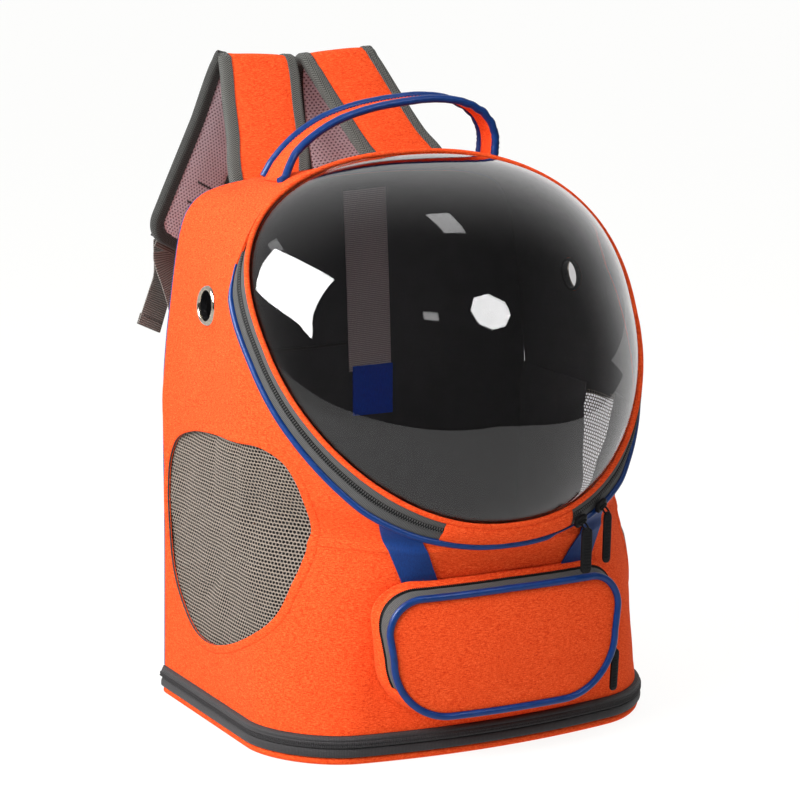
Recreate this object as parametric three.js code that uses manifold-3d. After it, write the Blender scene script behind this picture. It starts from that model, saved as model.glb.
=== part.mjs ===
// Pet carrier backpack: sewn cloth body with a clear domed door, front pocket, carry handle and padded straps.
// Millimetres. +Z up, the door and the pocket face -Y, the straps are on +Y, the bag stands on z = 0.
import * as THREE from 'three';
import { mergeVertices } from 'three/addons/utils/BufferGeometryUtils.js';
import Module from 'manifold-3d';

const wasm = await Module();
wasm.setup();
const { Manifold, Mesh } = wasm;
const V = (x, y, z) => new THREE.Vector3(x, y, z);

// ---------------------------------------------------------------- driving sizes
const GAP = 0.35;               // clearance between neighbouring pieces
const CLOTH = 2.0;              // body cloth with its lining
const MESH_T = 1.0;             // mesh window
const BACK_Y = 121;             // outer face of the back panel
const BACK_T = 3.0;             // back panel
const TRAY_H = 6.0;             // base tray
const BAND_H = 16;              // zipper band round the base
const WALL_Z = TRAY_H + BAND_H + 2 * GAP; // lower edge of the cloth walls

// plan of the cloth walls: height, half width, straight front line, corner radius, forward bow at the middle
const WALL_SECTIONS = [
  { z: 22, halfW: 166, front: -97, corner: 58, bow: 25 },
  { z: 60, halfW: 165.3, front: -98, corner: 64, bow: 26 },
  { z: 120, halfW: 164.6, front: -99, corner: 78, bow: 29 },
  { z: 150, halfW: 163.5, front: -101, corner: 98, bow: 36 },
  { z: 166, halfW: 162.5, front: -103, corner: 110, bow: 42 },
  { z: 184, halfW: 162, front: -105, corner: 116, bow: 46 },
  { z: 215, halfW: 162.5, front: -105, corner: 110, bow: 46 },
  { z: 250, halfW: 164, front: -105, corner: 96, bow: 46 },
  { z: 460, halfW: 164, front: -105, corner: 96, bow: 46 },
];
// back outline, right half mirrored: distance from the middle and height
const BACK_OUTLINE = [
  { x: 166, z: WALL_Z }, { x: 164.6, z: 127 }, { x: 164, z: 250 }, { x: 161, z: 289 }, { x: 157, z: 320 },
  { x: 152.5, z: 352 }, { x: 148.5, z: 373 }, { x: 142.5, z: 389 }, { x: 131, z: 401 }, { x: 111, z: 408 },
  { x: 79, z: 412 }, { x: 40, z: 414 }, { x: 0, z: 414.5 },
];

// door rim: an egg in a plane that leans back
const RIM_A = 160.4;            // half width of the bead's centre line
const RIM_B = 158.0;            // half height
const RIM_N = 2.24;             // squareness
const RIM_K = 0.175;            // wider towards the top
const RIM_Y = -64.4;
const RIM_Z = 310.8;
const RIM_TILT = THREE.MathUtils.degToRad(34.77);
const RIM_DISH = 3.4;           // the sides of the rim stand a little forward
const BEAD_R = 3.4;             // rim bead
const DOME_RISE = 88;           // height of the dome over the rim plane
const DOME_T = 2.0;
const PIPING_R = 2.0;

// outer edge of the zipper round the door: angle up from the rim's middle, out from the bead, back from the bead
const DOOR_LINE = [
  { phi: -90, out: 8.8, back: 17 }, { phi: -74, out: 9.4, back: 17.4 }, { phi: -60, out: 11.6, back: 17.7 }, { phi: -47, out: 12.6, back: 18 },
  { phi: -38, out: 10.2, back: 18.9 }, { phi: -26, out: 7.2, back: 20 }, { phi: -12, out: 4.6, back: 21.8 }, { phi: 0, out: 3, back: 23 },
  { phi: 18, out: 3, back: 25 }, { phi: 26, out: 2.5, back: 17 }, { phi: 33, out: 1.5, back: 5.2 },
  { phi: 40, out: 0.5, back: 4.3 }, { phi: 90, out: 0, back: 4.3 },
];
const ZIP_TOP_PHI = 24;         // upper end of each zipper
const ZIP_LEFT_PHI = -69;       // lower end of the left zipper, where the patch begins
const ZIP_RIGHT_PHI = -109.5;   // lower end of the right zipper
const ZIP_T = 1.6;

// strips of the wall from the back seam to the door edge: angle of the door end, distance up the back seam
const WALL_STRIPS = [
  { phi: -90, up: 143.5 }, { phi: -79, up: 151 }, { phi: -65, up: 164 }, { phi: -51, up: 184 }, { phi: -37, up: 210 },
  { phi: -23, up: 238 }, { phi: -9, up: 266 }, { phi: 5, up: 292 }, { phi: 17, up: 314 },
  { phi: 26, up: 331 }, { phi: 35, up: 347 }, { phi: 46, up: 366 }, { phi: 57, up: 388 }, { phi: 67, up: 419 },
  { phi: 78, up: 468 }, { phi: 90, up: 546 },
];
const STRAIGHT_PHI = 26;         // strips above this run straight from the seam to the bead
const WALL_COLUMNS = 11;        // columns from the back seam to the door edge
const SEAM_X = 100;             // side panels end here, front and top panels begin

// mesh window outline on the side, seen along X
const WINDOW_OUTLINE = [
  { y: 64, z: 226.5 }, { y: 97, z: 212.5 }, { y: 113, z: 188 }, { y: 114, z: 146 }, { y: 104, z: 103 }, { y: 72, z: 70 },
  { y: 38, z: 63 }, { y: -24, z: 81 }, { y: -62, z: 107 }, { y: -74, z: 141 }, { y: -78.5, z: 181 }, { y: -80, z: 203 },
  { y: -72, z: 226 }, { y: -52, z: 236 }, { y: -23, z: 235.5 }, { y: 17, z: 234 },
];
const EYELET_Y = 40;
const EYELET_Z = 329;
const EYELET_OUT_R = 15.6;
const EYELET_HOLE_R = 11.2;

// pocket
const POCKET = { halfW: 99, zTop: 133, zBot: 38, rTop: 27, rBot: 48, faceY: -139.5, faceBow: 10, flareTop: 8, flareSide: 2 };

// carry handle centre line, seen from the front, on one plane
const HANDLE_Y = 66;
const HANDLE_W = 20;
const HANDLE_T = 3.5;
const HANDLE_LINE = [
  { x: -96, z: 421.6 }, { x: -86, z: 433 }, { x: -71, z: 447 }, { x: -48, z: 460.5 }, { x: -20, z: 469 }, { x: 12, z: 473.5 },
  { x: 44, z: 474.5 }, { x: 70, z: 469.5 }, { x: 87, z: 459 }, { x: 95, z: 444 }, { x: 94.4, z: 420.9 },
];

// shoulder strap centre lines with the direction across; the right one is written mirrored
const STRAP_W = 68;
const STRAP_T = 8;
const BIND_W = 9.5;
const BIND_T = 9;
const STRAP_END_R = 19;
const STRAP_RISE = [
  { x: -67, y: 126.2, z: 384, wx: 1, wy: 0, wz: 0 },
  { x: -66, y: 129.4, z: 400, wx: 1, wy: 0, wz: 0 },
  { x: -63, y: 140, z: 414, wx: 1, wy: 0, wz: 0 },
  { x: -55.5, y: 157, z: 430, wx: 1, wy: 0, wz: 0.02 },
  { x: -46, y: 187, z: 461, wx: 1, wy: 0, wz: 0.02 },
  { x: -38.5, y: 209, z: 485.5, wx: 1, wy: 0, wz: 0 },
  { x: -36.5, y: 218.5, z: 493.5, wx: 1, wy: 0.04, wz: -0.02 },
  { x: -37.5, y: 227.5, z: 492, wx: 0.98, wy: 0.12, wz: -0.12 },
];
const LEFT_HANG = [
  { x: -43, y: 231.5, z: 481, wx: 0.93, wy: 0.24, wz: -0.26 },
  { x: -65, y: 229.5, z: 435, wx: 0.87, wy: 0.34, wz: -0.36 },
  { x: -91.5, y: 226.5, z: 382, wx: 0.86, wy: 0.36, wz: -0.375 },
  { x: -111, y: 224, z: 342, wx: 0.86, wy: 0.36, wz: -0.375 },
];
const RIGHT_HANG = [
  { x: -37.5, y: 231.5, z: 481, wx: 0.93, wy: 0.24, wz: -0.26 },
  { x: -40.5, y: 229.5, z: 435, wx: 0.9, wy: 0.32, wz: -0.3 },
  { x: -47, y: 226.5, z: 384, wx: 0.9, wy: 0.33, wz: -0.3 },
  { x: -54, y: 224, z: 344, wx: 0.9, wy: 0.33, wz: -0.3 },
];
const WEB_W = 24;
const WEB_T = 1.6;
const WEB_FOOT = [{ x: -134, y: 130, z: 58 }, { x: -135.5, y: 122.6, z: 38 }, { x: -135.5, y: 122.4, z: 25 }];
const LEFT_WEB = [{ x: -104, y: 222, z: 282 }, { x: -115, y: 186, z: 190 }, { x: -129, y: 150, z: 100 }, ...WEB_FOOT];
const RIGHT_WEB = [{ x: -66, y: 222, z: 282 }, { x: -93, y: 186, z: 190 }, { x: -122, y: 150, z: 100 }, ...WEB_FOOT];
const LEFT_TAIL = [{ x: -110, y: 242.5, z: 318 }, { x: -116, y: 242, z: 300 }, { x: -127, y: 237, z: 275 }];
const RIGHT_TAIL = [{ x: -63, y: 242.5, z: 318 }, { x: -67, y: 242, z: 300 }, { x: -73, y: 237, z: 275 }];

// inner strap on the back wall
const INNER_X = 14;
const INNER_W = 38;
const INNER_TOP = 398;
const INNER_SPLIT = 253.5;
const INNER_BOT = 212.5;

// ---------------------------------------------------------------- small helpers
const lerp = (a, b, t) => a + (b - a) * t;
function rowAt(table, key, at) {
  const up = table[table.length - 1][key] > table[0][key];
  let i = 0;
  while (i < table.length - 2 && (up ? table[i + 1][key] < at : table[i + 1][key] > at)) i++;
  const a = table[i], b = table[i + 1];
  const t = THREE.MathUtils.clamp((at - a[key]) / (b[key] - a[key]), 0, 1);
  const out = {};
  for (const k of Object.keys(a)) out[k] = lerp(a[k], b[k], t);
  return out;
}
function alongPolyline(pts) {
  const len = [0];
  for (let i = 1; i < pts.length; i++) len.push(len[i - 1] + pts[i].distanceTo(pts[i - 1]));
  const total = len[len.length - 1];
  return {
    total,
    at(d) {
      const q = THREE.MathUtils.clamp(d, 0, total);
      let i = 0;
      while (i < len.length - 2 && len[i + 1] < q) i++;
      return pts[i].clone().lerp(pts[i + 1], (q - len[i]) / Math.max(1e-9, len[i + 1] - len[i]));
    },
  };
}
const smooth = (pts, n, closed = false) => new THREE.CatmullRomCurve3(pts, closed, 'centripetal').getSpacedPoints(n);

// closed geometry from triangles over a list of points, merged and turned to face outwards
function solid(points, tris) {
  const pos = new Float32Array(points.length * 3);
  points.forEach((p, i) => pos.set([p.x, p.y, p.z], i * 3));
  let g = new THREE.BufferGeometry();
  g.setAttribute('position', new THREE.BufferAttribute(pos, 3));
  g.setIndex(tris);
  g = mergeVertices(g, 2e-3);
  const ix = g.index.array, P = g.attributes.position;
  const keep = [];
  let vol = 0;
  const a = V(), b = V(), c = V();
  for (let i = 0; i < ix.length; i += 3) {
    if (ix[i] === ix[i + 1] || ix[i + 1] === ix[i + 2] || ix[i] === ix[i + 2]) continue;
    keep.push(ix[i], ix[i + 1], ix[i + 2]);
    a.fromBufferAttribute(P, ix[i]); b.fromBufferAttribute(P, ix[i + 1]); c.fromBufferAttribute(P, ix[i + 2]);
    vol += a.dot(b.cross(c)) / 6;
  }
  if (vol < 0) for (let i = 0; i < keep.length; i += 3) [keep[i + 1], keep[i + 2]] = [keep[i + 2], keep[i + 1]];
  g.setIndex(keep);
  return g;
}
// two matching sheets of points joined round their edges
function sheetSolid(front, back, wrapU = false) {
  const nu = front.length, nv = front[0].length, pts = [...front.flat(), ...back.flat()], tris = [];
  const F = (i, j) => (i % nu) * nv + j, B = (i, j) => nu * nv + (i % nu) * nv + j;
  const quad = (a, b, c, d) => tris.push(a, b, c, a, c, d);
  const last = wrapU ? nu : nu - 1;
  for (let i = 0; i < last; i++) {
    for (let j = 0; j < nv - 1; j++) {
      quad(F(i, j), F(i + 1, j), F(i + 1, j + 1), F(i, j + 1));
      quad(B(i, j), B(i, j + 1), B(i + 1, j + 1), B(i + 1, j));
    }
    quad(F(i, 0), B(i, 0), B(i + 1, 0), F(i + 1, 0));
    quad(F(i + 1, nv - 1), B(i + 1, nv - 1), B(i, nv - 1), F(i, nv - 1));
  }
  if (!wrapU) for (let j = 0; j < nv - 1; j++) {
    quad(F(0, j + 1), B(0, j + 1), B(0, j), F(0, j));
    quad(F(nu - 1, j), B(nu - 1, j), B(nu - 1, j + 1), F(nu - 1, j + 1));
  }
  return solid(pts, tris);
}
// rings of points along a path, closed into a loop or capped at both ends
function ringSolid(rings, loop) {
  const n = rings.length, m = rings[0].length, pts = rings.flat(), tris = [];
  const I = (i, j) => (i % n) * m + (j % m);
  for (let i = 0; i < (loop ? n : n - 1); i++)
    for (let j = 0; j < m; j++)
      tris.push(I(i, j), I(i + 1, j), I(i + 1, j + 1), I(i, j), I(i + 1, j + 1), I(i, j + 1));
  if (!loop) for (const [i, flip] of [[0, false], [n - 1, true]]) {
    const c = pts.length;
    pts.push(rings[i].reduce((s, p) => s.add(p), V()).multiplyScalar(1 / m));
    for (let j = 0; j < m; j++) flip ? tris.push(c, I(i, j + 1), I(i, j)) : tris.push(c, I(i, j), I(i, j + 1));
  }
  return solid(pts, tris);
}
function tangents(pts, loop) {
  const n = pts.length;
  return pts.map((p, i) => {
    const a = pts[loop ? (i + n - 1) % n : Math.max(0, i - 1)], b = pts[loop ? (i + 1) % n : Math.min(n - 1, i + 1)];
    return b.clone().sub(a).normalize();
  });
}
// round cord along points
function cord(pts, r, sides, loop) {
  const T = tangents(pts, loop);
  let N = V(0, 0, 1).cross(T[0]);
  if (N.length() < 0.2) N = V(1, 0, 0).cross(T[0]);
  N.normalize();
  const normals = [];
  for (let i = 0; i < pts.length; i++) {
    N = N.clone().addScaledVector(T[i], -N.dot(T[i])).normalize();
    normals.push(N);
  }
  const rings = pts.map((p, i) => {
    const Bn = T[i].clone().cross(normals[i]);
    return Array.from({ length: sides }, (_, k) => {
      const a = (k / sides) * Math.PI * 2;
      return p.clone().addScaledVector(normals[i], Math.cos(a) * r).addScaledVector(Bn, Math.sin(a) * r);
    });
  });
  return ringSolid(rings, loop);
}
// flat strap along points: width direction per point, thickness along the normal
function ribbon(pts, across, width, thick, lift = 0) {
  const T = tangents(pts, false);
  const rings = pts.map((p, i) => {
    const W = across[i].clone().addScaledVector(T[i], -across[i].dot(T[i])).normalize();
    const N = T[i].clone().cross(W);
    return [[-1, -1], [1, -1], [1, 1], [-1, 1]].map(([w, n]) =>
      p.clone().addScaledVector(W, (w * width) / 2).addScaledVector(N, lift + (n * thick) / 2));
  });
  return ringSolid(rings, false);
}
const toManifold = (g) => {
  const h = mergeVertices(new THREE.BufferGeometry()
    .setAttribute('position', g.attributes.position.clone())
    .setIndex(g.index ? Array.from(g.index.array) : [...Array(g.attributes.position.count).keys()]), 1e-3);
  return new Manifold(new Mesh({ numProp: 3, vertProperties: new Float32Array(h.attributes.position.array),
    triVerts: new Uint32Array(h.index.array) }));
};
const toGeometry = (m) => {
  const o = m.getMesh(), g = new THREE.BufferGeometry();
  const pos = new Float32Array(o.numVert * 3);
  for (let i = 0; i < o.numVert; i++) for (let k = 0; k < 3; k++) pos[i * 3 + k] = o.vertProperties[i * o.numProp + k];
  g.setAttribute('position', new THREE.BufferAttribute(pos, 3));
  g.setIndex(Array.from(o.triVerts));
  return g;
};
const mirror = (g) => {
  const h = g.clone();
  const p = h.attributes.position;
  for (let i = 0; i < p.count; i++) p.setX(i, -p.getX(i));
  const ix = Array.from(h.index.array);
  for (let i = 0; i < ix.length; i += 3) [ix[i + 1], ix[i + 2]] = [ix[i + 2], ix[i + 1]];
  h.setIndex(ix);
  return h;
};

const group = new THREE.Group();
group.name = 'pet_carrier_backpack';
const COLOURS = { orange: 0xf4622f, back: 0xe2552a, mesh: 0x8d7f72, grey: 0x3a3637, black: 0x1d1c1d, blue: 0x1d46a0,
  smoke: 0x3b393b, chrome: 0xc9c6c0, webbing: 0x59514b, airmesh: 0x9b858a };
function add(name, geometry, colour, extra = {}) {
  geometry.computeVertexNormals();
  const mesh = new THREE.Mesh(geometry, new THREE.MeshStandardMaterial({ color: COLOURS[colour], roughness: 0.8, ...extra }));
  mesh.name = name;
  group.add(mesh);
}

// ---------------------------------------------------------------- walls
// left half of the plan at one height, from the back seam round the corner to the middle of the front
function planCurve(z) {
  const s = rowAt(WALL_SECTIONS, 'z', z), pts = [];
  const sideEnd = s.front + s.corner;
  for (let i = 0; i <= 12; i++) pts.push([-s.halfW, lerp(BACK_Y, sideEnd, i / 12)]);
  for (let i = 1; i <= 24; i++) {
    const a = (i / 24) * Math.PI / 2;
    pts.push([-s.halfW + s.corner * (1 - Math.cos(a)), sideEnd - s.corner * Math.sin(a)]);
  }
  for (let i = 1; i <= 12; i++) pts.push([lerp(-s.halfW + s.corner, 0, i / 12), s.front]);
  return pts.map(([x, y]) => {
    const w = THREE.MathUtils.clamp((BACK_Y - y) / (BACK_Y - s.front), 0, 1) ** 2;
    return V(x, y - s.bow * (1 - (x / s.halfW) ** 2) * w, z);
  });
}
// front of the wall at a place on it
function frontY(x, z) {
  const c = planCurve(z), ax = -Math.abs(x);
  for (let i = c.length - 1; i > 0; i--)
    if (c[i - 1].x <= ax && ax <= c[i].x + 1e-9 && c[i].x > c[i - 1].x)
      return lerp(c[i - 1].y, c[i].y, (ax - c[i - 1].x) / (c[i].x - c[i - 1].x));
  return c[0].y;
}
const backLine = alongPolyline(BACK_OUTLINE.map((r) => V(-r.x, BACK_Y, r.z)));

// rim
const rimNormal = V(0, -Math.cos(RIM_TILT), Math.sin(RIM_TILT));
const rimUp = V(0, Math.sin(RIM_TILT), Math.cos(RIM_TILT));
const spow = (v, e) => Math.sign(v) * Math.abs(v) ** e;
function rimPlane(phiDeg, inset = 0) {
  const p = THREE.MathUtils.degToRad(phiDeg);
  const c = spow(Math.cos(p), 2 / RIM_N), s = spow(Math.sin(p), 2 / RIM_N);
  return { u: -(RIM_A - inset) * c * (1 + RIM_K * Math.sin(p)), v: (RIM_B - inset) * s };
}
function rimPoint(phiDeg, inset = 0) {
  const q = rimPlane(phiDeg, inset);
  return V(q.u, RIM_Y, RIM_Z).addScaledVector(rimUp, q.v).addScaledVector(rimNormal, -RIM_DISH * (q.u / RIM_A) ** 2);
}
function rimOutward(phiDeg) {
  const a = rimPoint(phiDeg - 1), b = rimPoint(phiDeg + 1);
  const o = b.sub(a).normalize().cross(rimNormal).normalize();
  const mid = rimPoint(phiDeg).sub(V(0, RIM_Y, RIM_Z));
  return o.dot(mid) < 0 ? o.negate() : o;
}
function doorEdge(phiDeg) {
  const d = rowAt(DOOR_LINE, 'phi', phiDeg <= 90 && phiDeg >= -90 ? phiDeg : (phiDeg > 90 ? 180 - phiDeg : -180 - phiDeg));
  return rimPoint(phiDeg).addScaledVector(rimOutward(phiDeg), d.out).addScaledVector(rimNormal, -d.back);
}

// one strip of wall between a back point and a front point, bent round the plan of the wall
const CORE_Y = 20;
function wallStrip(back, front, columns, straight = false) {
  if (straight) return Array.from({ length: columns + 1 }, (_, k) => back.clone().lerp(front, k / columns));
  const ang = (x, y) => Math.atan2(-x, CORE_Y - y);       // 0 at the middle of the front, past 90 degrees at the back
  const c = planCurve(front.z);
  const target = ang(front.x, front.y);
  let i = 0;
  while (i < c.length - 2 && ang(c[i + 1].x, c[i + 1].y) > target) i++;
  const a0 = ang(c[i].x, c[i].y), a1 = ang(c[i + 1].x, c[i + 1].y);
  const cut = c[i].clone().lerp(c[i + 1], THREE.MathUtils.clamp((a0 - target) / (a0 - a1), 0, 1));
  const line = alongPolyline([...c.slice(0, i + 1), cut]);
  const kxB = back.x / c[0].x, kxF = Math.abs(cut.x) > 1 ? front.x / cut.x : 1, kyF = (front.y - CORE_Y) / (cut.y - CORE_Y);
  return Array.from({ length: columns + 1 }, (_, k) => {
    const t = k / columns, z = lerp(back.z, front.z, t);
    // the plan at this height, at the same share of its length
    const zc = planCurve(lerp(back.z, front.z, t));
    const p = line.at(t * line.total);
    const whole = alongPolyline(c), here = alongPolyline(zc);
    const share = (t * line.total) / whole.total;
    const q = here.at(share * here.total);
    const w = Math.abs(front.z - back.z) < 1 ? 0 : t;
    const y = lerp(q.y, p.y, w), x = lerp(q.x, p.x, w);
    if (k === columns) return front.clone();
    return V(x * lerp(kxB, kxF, t), k === 0 ? BACK_Y : CORE_Y + (y - CORE_Y) * lerp(1, kyF, t * t), z);
  });
}
const wallRows = [];
for (const s of WALL_SECTIONS) {
  if (s.z >= 166) break;
  const z = Math.max(s.z, WALL_Z);
  const back = backLine.at(z - WALL_Z);
  wallRows.push(wallStrip(V(back.x, BACK_Y, z), V(0, frontY(0, z), z), WALL_COLUMNS));
}
for (const s of WALL_STRIPS) {
  const back = backLine.at(s.phi === 90 ? backLine.total : Math.min(s.up, backLine.total - 2));
  const front = doorEdge(s.phi);
  if (Math.abs(s.phi) === 90) front.x = 0;
  wallRows.push(wallStrip(back, front, WALL_COLUMNS, s.phi >= STRAIGHT_PHI));
}
// the same rows moved in along the normals of the sheet
function offsetRows(rows, depth) {
  const nu = rows.length, nv = rows[0].length;
  return rows.map((r, i) => r.map((p, j) => {
    const du = rows[Math.min(nu - 1, i + 1)][j].clone().sub(rows[Math.max(0, i - 1)][j]);
    const dv = r[Math.min(nv - 1, j + 1)].clone().sub(r[Math.max(0, j - 1)]);
    const n = du.cross(dv).normalize();
    if (n.dot(V(p.x, p.y - 30, p.z - 250)) > 0) n.negate();
    if (i < 5 && j === nv - 1) n.set(0, 1, 0);
    if (i === nu - 1) n.x = 0;
    if (j === 0) n.y = 0;
    if (i < 5) n.z = 0;
    return p.clone().addScaledVector(n.normalize(), depth);
  }));
}
const innerRows = offsetRows(wallRows, CLOTH);
const halfWall = toManifold(sheetSolid(wallRows, innerRows));
const meshSheet = toManifold(sheetSolid(offsetRows(wallRows, 0.5), offsetRows(wallRows, 0.5 + MESH_T)));

// place on the outer sheet seen along X, with its normal
function wallAt(y, z) {
  let best = null;
  for (let i = 0; i < wallRows.length - 1; i++) for (let j = 0; j < WALL_COLUMNS; j++) {
    const q = [wallRows[i][j], wallRows[i + 1][j], wallRows[i + 1][j + 1], wallRows[i][j + 1]];
    for (const [a, b, c] of [[q[0], q[1], q[2]], [q[0], q[2], q[3]]]) {
      const d = (b.y - a.y) * (c.z - a.z) - (c.y - a.y) * (b.z - a.z);
      const s = ((y - a.y) * (c.z - a.z) - (c.y - a.y) * (z - a.z)) / d;
      const t = ((b.y - a.y) * (z - a.z) - (y - a.y) * (b.z - a.z)) / d;
      if (s >= -1e-6 && t >= -1e-6 && s + t <= 1 + 1e-6) {
        const x = a.x + s * (b.x - a.x) + t * (c.x - a.x);
        const n = b.clone().sub(a).cross(c.clone().sub(a)).normalize();
        if (n.x > 0) n.negate();
        if (!best || x < best.p.x) best = { p: V(x, y, z), n };
      }
    }
  }
  return best;
}
// window cutter along X
function windowPrism(shrink) {
  const ctr = WINDOW_OUTLINE.reduce((s, r) => s.add(V(0, r.y, r.z)), V()).multiplyScalar(1 / WINDOW_OUTLINE.length);
  const loop = smooth(WINDOW_OUTLINE.map((r) => V(0, r.y, r.z)), 24, true).slice(0, 24)
    .map((p) => p.sub(ctr).multiplyScalar(1 - shrink / p.length()).add(ctr));
  return toManifold(ringSolid([-220, -115].map((x) => loop.map((p) => V(x, p.y, p.z))), false));
}
const eyeletSeat = wallAt(EYELET_Y, EYELET_Z);
const alongNormal = new THREE.Quaternion().setFromUnitVectors(V(0, 1, 0), eyeletSeat.n);
const eyeletHole = new THREE.CylinderGeometry(EYELET_HOLE_R + 2.4, EYELET_HOLE_R + 2.4, 30, 20)
  .applyQuaternion(alongNormal).translate(eyeletSeat.p.x, eyeletSeat.p.y, eyeletSeat.p.z);
const openWall = halfWall.subtract(windowPrism(0)).subtract(toManifold(eyeletHole));

const side = openWall.trimByPlane([-1, 0, 0], SEAM_X + GAP / 2);
const middle = openWall.trimByPlane([1, 0, 0], -(SEAM_X - GAP / 2));
const frontHalf = middle.trimByPlane([0, 0, -1], -300);
const topHalf = middle.trimByPlane([0, 0, 1], 300);
const bothHalves = (m) => toGeometry(m.add(m.mirror([1, 0, 0])));
add('side_panel_left', toGeometry(side), 'orange');
add('side_panel_right', mirror(toGeometry(side)), 'orange');
add('front_panel', bothHalves(frontHalf), 'orange');
add('top_panel', bothHalves(topHalf), 'orange');
const windowSheet = toGeometry(meshSheet.intersect(windowPrism(GAP + 0.1)));
add('mesh_window_left', windowSheet, 'mesh');
add('mesh_window_right', mirror(windowSheet), 'mesh');

// eyelet: rolled flange outside, barrel through the wall
const eyeletProfile = [
  [EYELET_HOLE_R, -4.2], [EYELET_HOLE_R + 2, -4.2], [EYELET_HOLE_R + 2, GAP], [EYELET_OUT_R - 0.6, GAP + 0.2], [EYELET_OUT_R, 1.2],
  [EYELET_OUT_R - 2.4, 2.7], [EYELET_HOLE_R + 1.6, 2.6], [EYELET_HOLE_R, 1.0],
];
const eyelet = (() => {
  const rings = Array.from({ length: 20 }, (_, i) => {
    const a = (i / 20) * Math.PI * 2;
    return eyeletProfile.map(([r, h]) => V(r * Math.cos(a), h, r * Math.sin(a)).applyQuaternion(alongNormal).add(eyeletSeat.p));
  });
  return ringSolid(rings, true);
})();
add('eyelet_left', eyelet, 'chrome', { metalness: 1, roughness: 0.2 });
add('eyelet_right', mirror(eyelet), 'chrome', { metalness: 1, roughness: 0.2 });

// ---------------------------------------------------------------- base and back
const ROUND = 18;               // plan points on each half of the base
function planLoop(z, out, atZ = z) {
  const c = alongPolyline(planCurve(z));
  const half = Array.from({ length: ROUND + 1 }, (_, i) => c.at((i / ROUND) * c.total));
  const pts = [...half, ...half.slice(0, -1).reverse().map((p) => V(-p.x, p.y, p.z))];
  const n = pts.length;
  return pts.map((p, i) => {
    const t = pts[(i + 1) % n].clone().sub(pts[(i + n - 1) % n]);
    const o = V(t.y, -t.x, 0).normalize();
    if (o.dot(V(p.x, p.y, 0)) < 0) o.negate();
    return V(p.x + o.x * out, p.y + o.y * out, atZ);
  });
}
const trayRings = [[-1.5, 0], [1.5, 1.2], [2.6, 3.4], [1.2, TRAY_H]].map(([out, z]) => planLoop(22, out, z));
add('base_tray', ringSolid(trayRings, false), 'orange');
const BAND_PROFILE = [
  { out: -3, up: 0 }, { out: 3.2, up: 0 }, { out: 4.6, up: 2.5 }, { out: 3.2, up: 7 }, { out: 4.8, up: 9.5 }, { out: 4.8, up: 13.5 },
  { out: 2.6, up: BAND_H }, { out: -3, up: BAND_H },
];
const bandLoops = BAND_PROFILE.map((b) => planLoop(22, b.out, TRAY_H + GAP + b.up));
add('base_band', ringSolid(bandLoops[0].map((_, i) => bandLoops.map((l) => l[i])), true), 'grey');

function backOutline(inset, n) {
  const pts = Array.from({ length: n + 1 }, (_, i) => backLine.at((i / n) * backLine.total));
  const full = [...pts, ...pts.slice(0, -1).reverse().map((p) => V(-p.x, p.y, p.z))];
  const T = tangents(full, false);
  return full.map((p, i) => {
    const o = V(-T[i].z, 0, T[i].x);
    if (o.dot(V(p.x, 0, p.z - 200)) > 0) o.negate();
    return p.clone().addScaledVector(o, inset);
  });
}
const panelEdge = backOutline(CLOTH + GAP + 1.0, 20);
panelEdge[0].z = panelEdge[panelEdge.length - 1].z = WALL_Z;
add('back_panel', ringSolid([BACK_Y - BACK_T, BACK_Y].map((y) => panelEdge.map((p) => V(p.x, y, p.z))), false), 'back');
add('back_piping', cord(backOutline(2.4, 18).map((p) => V(p.x, BACK_Y + PIPING_R + GAP, p.z)), PIPING_R, 5, false), 'blue');

// ---------------------------------------------------------------- door
const RIM_STEPS = 52;
add('door_rim', cord(Array.from({ length: RIM_STEPS }, (_, i) => rimPoint(-90 + (i / RIM_STEPS) * 360)), BEAD_R, 6, true), 'orange');
// dome: steep near the rim and flatter in the middle
const DOME_SEGS = 44, DOME_RINGS = 6;
const domeHeight = (r) => DOME_RISE * (1 - r ** 2.15) ** 0.82;
function domeSheet(inset, drop) {
  return Array.from({ length: DOME_SEGS }, (_, i) => Array.from({ length: DOME_RINGS + 1 }, (_, j) => {
    const r = j === 0 ? 0 : Math.sin((j / DOME_RINGS) * Math.PI / 2);
    const q = rimPlane(-90 + (i / DOME_SEGS) * 360, inset);
    return V(q.u * r, RIM_Y, RIM_Z).addScaledVector(rimUp, q.v * r)
      .addScaledVector(rimNormal, domeHeight(r) * (1 - drop / DOME_RISE) - RIM_DISH * (q.u * r / RIM_A) ** 2);
  }));
}
add('dome', sheetSolid(domeSheet(BEAD_R + GAP + 0.3, 0), domeSheet(BEAD_R + GAP + 0.3 + DOME_T, DOME_T), true), 'smoke', { transparent: true, opacity: 0.6 });

// zipper band and patch between the door line and the bead
function bandGrid(from, to, steps, lift) {
  return Array.from({ length: steps + 1 }, (_, i) => {
    const phi = lerp(from, to, i / steps);
    const a = doorEdge(phi), b = rimPoint(phi), d = b.clone().sub(a), L = d.length();
    d.normalize();
    const n = d.clone().cross(rimPoint(phi + 0.5).sub(rimPoint(phi - 0.5))).normalize();
    if (n.dot(rimOutward(phi)) < 0) n.negate();
    const lo = Math.min(2 * PIPING_R + 2 * GAP + 0.8, L * 0.45), hi = Math.max(L - BEAD_R - GAP - 0.2, lo + 0.8);
    return [0, 0.5, 1].map((t) => a.clone().addScaledVector(d, lerp(lo, hi, t)).addScaledVector(n, lift));
  });
}
const zipBand = (foot) => sheetSolid(bandGrid(foot + 0.2, ZIP_TOP_PHI, 22, 0), bandGrid(foot + 0.2, ZIP_TOP_PHI, 22, -ZIP_T));
add('door_zip_left', zipBand(ZIP_LEFT_PHI), 'grey');
add('door_zip_right', mirror(zipBand(-180 - ZIP_RIGHT_PHI)), 'grey');
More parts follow.
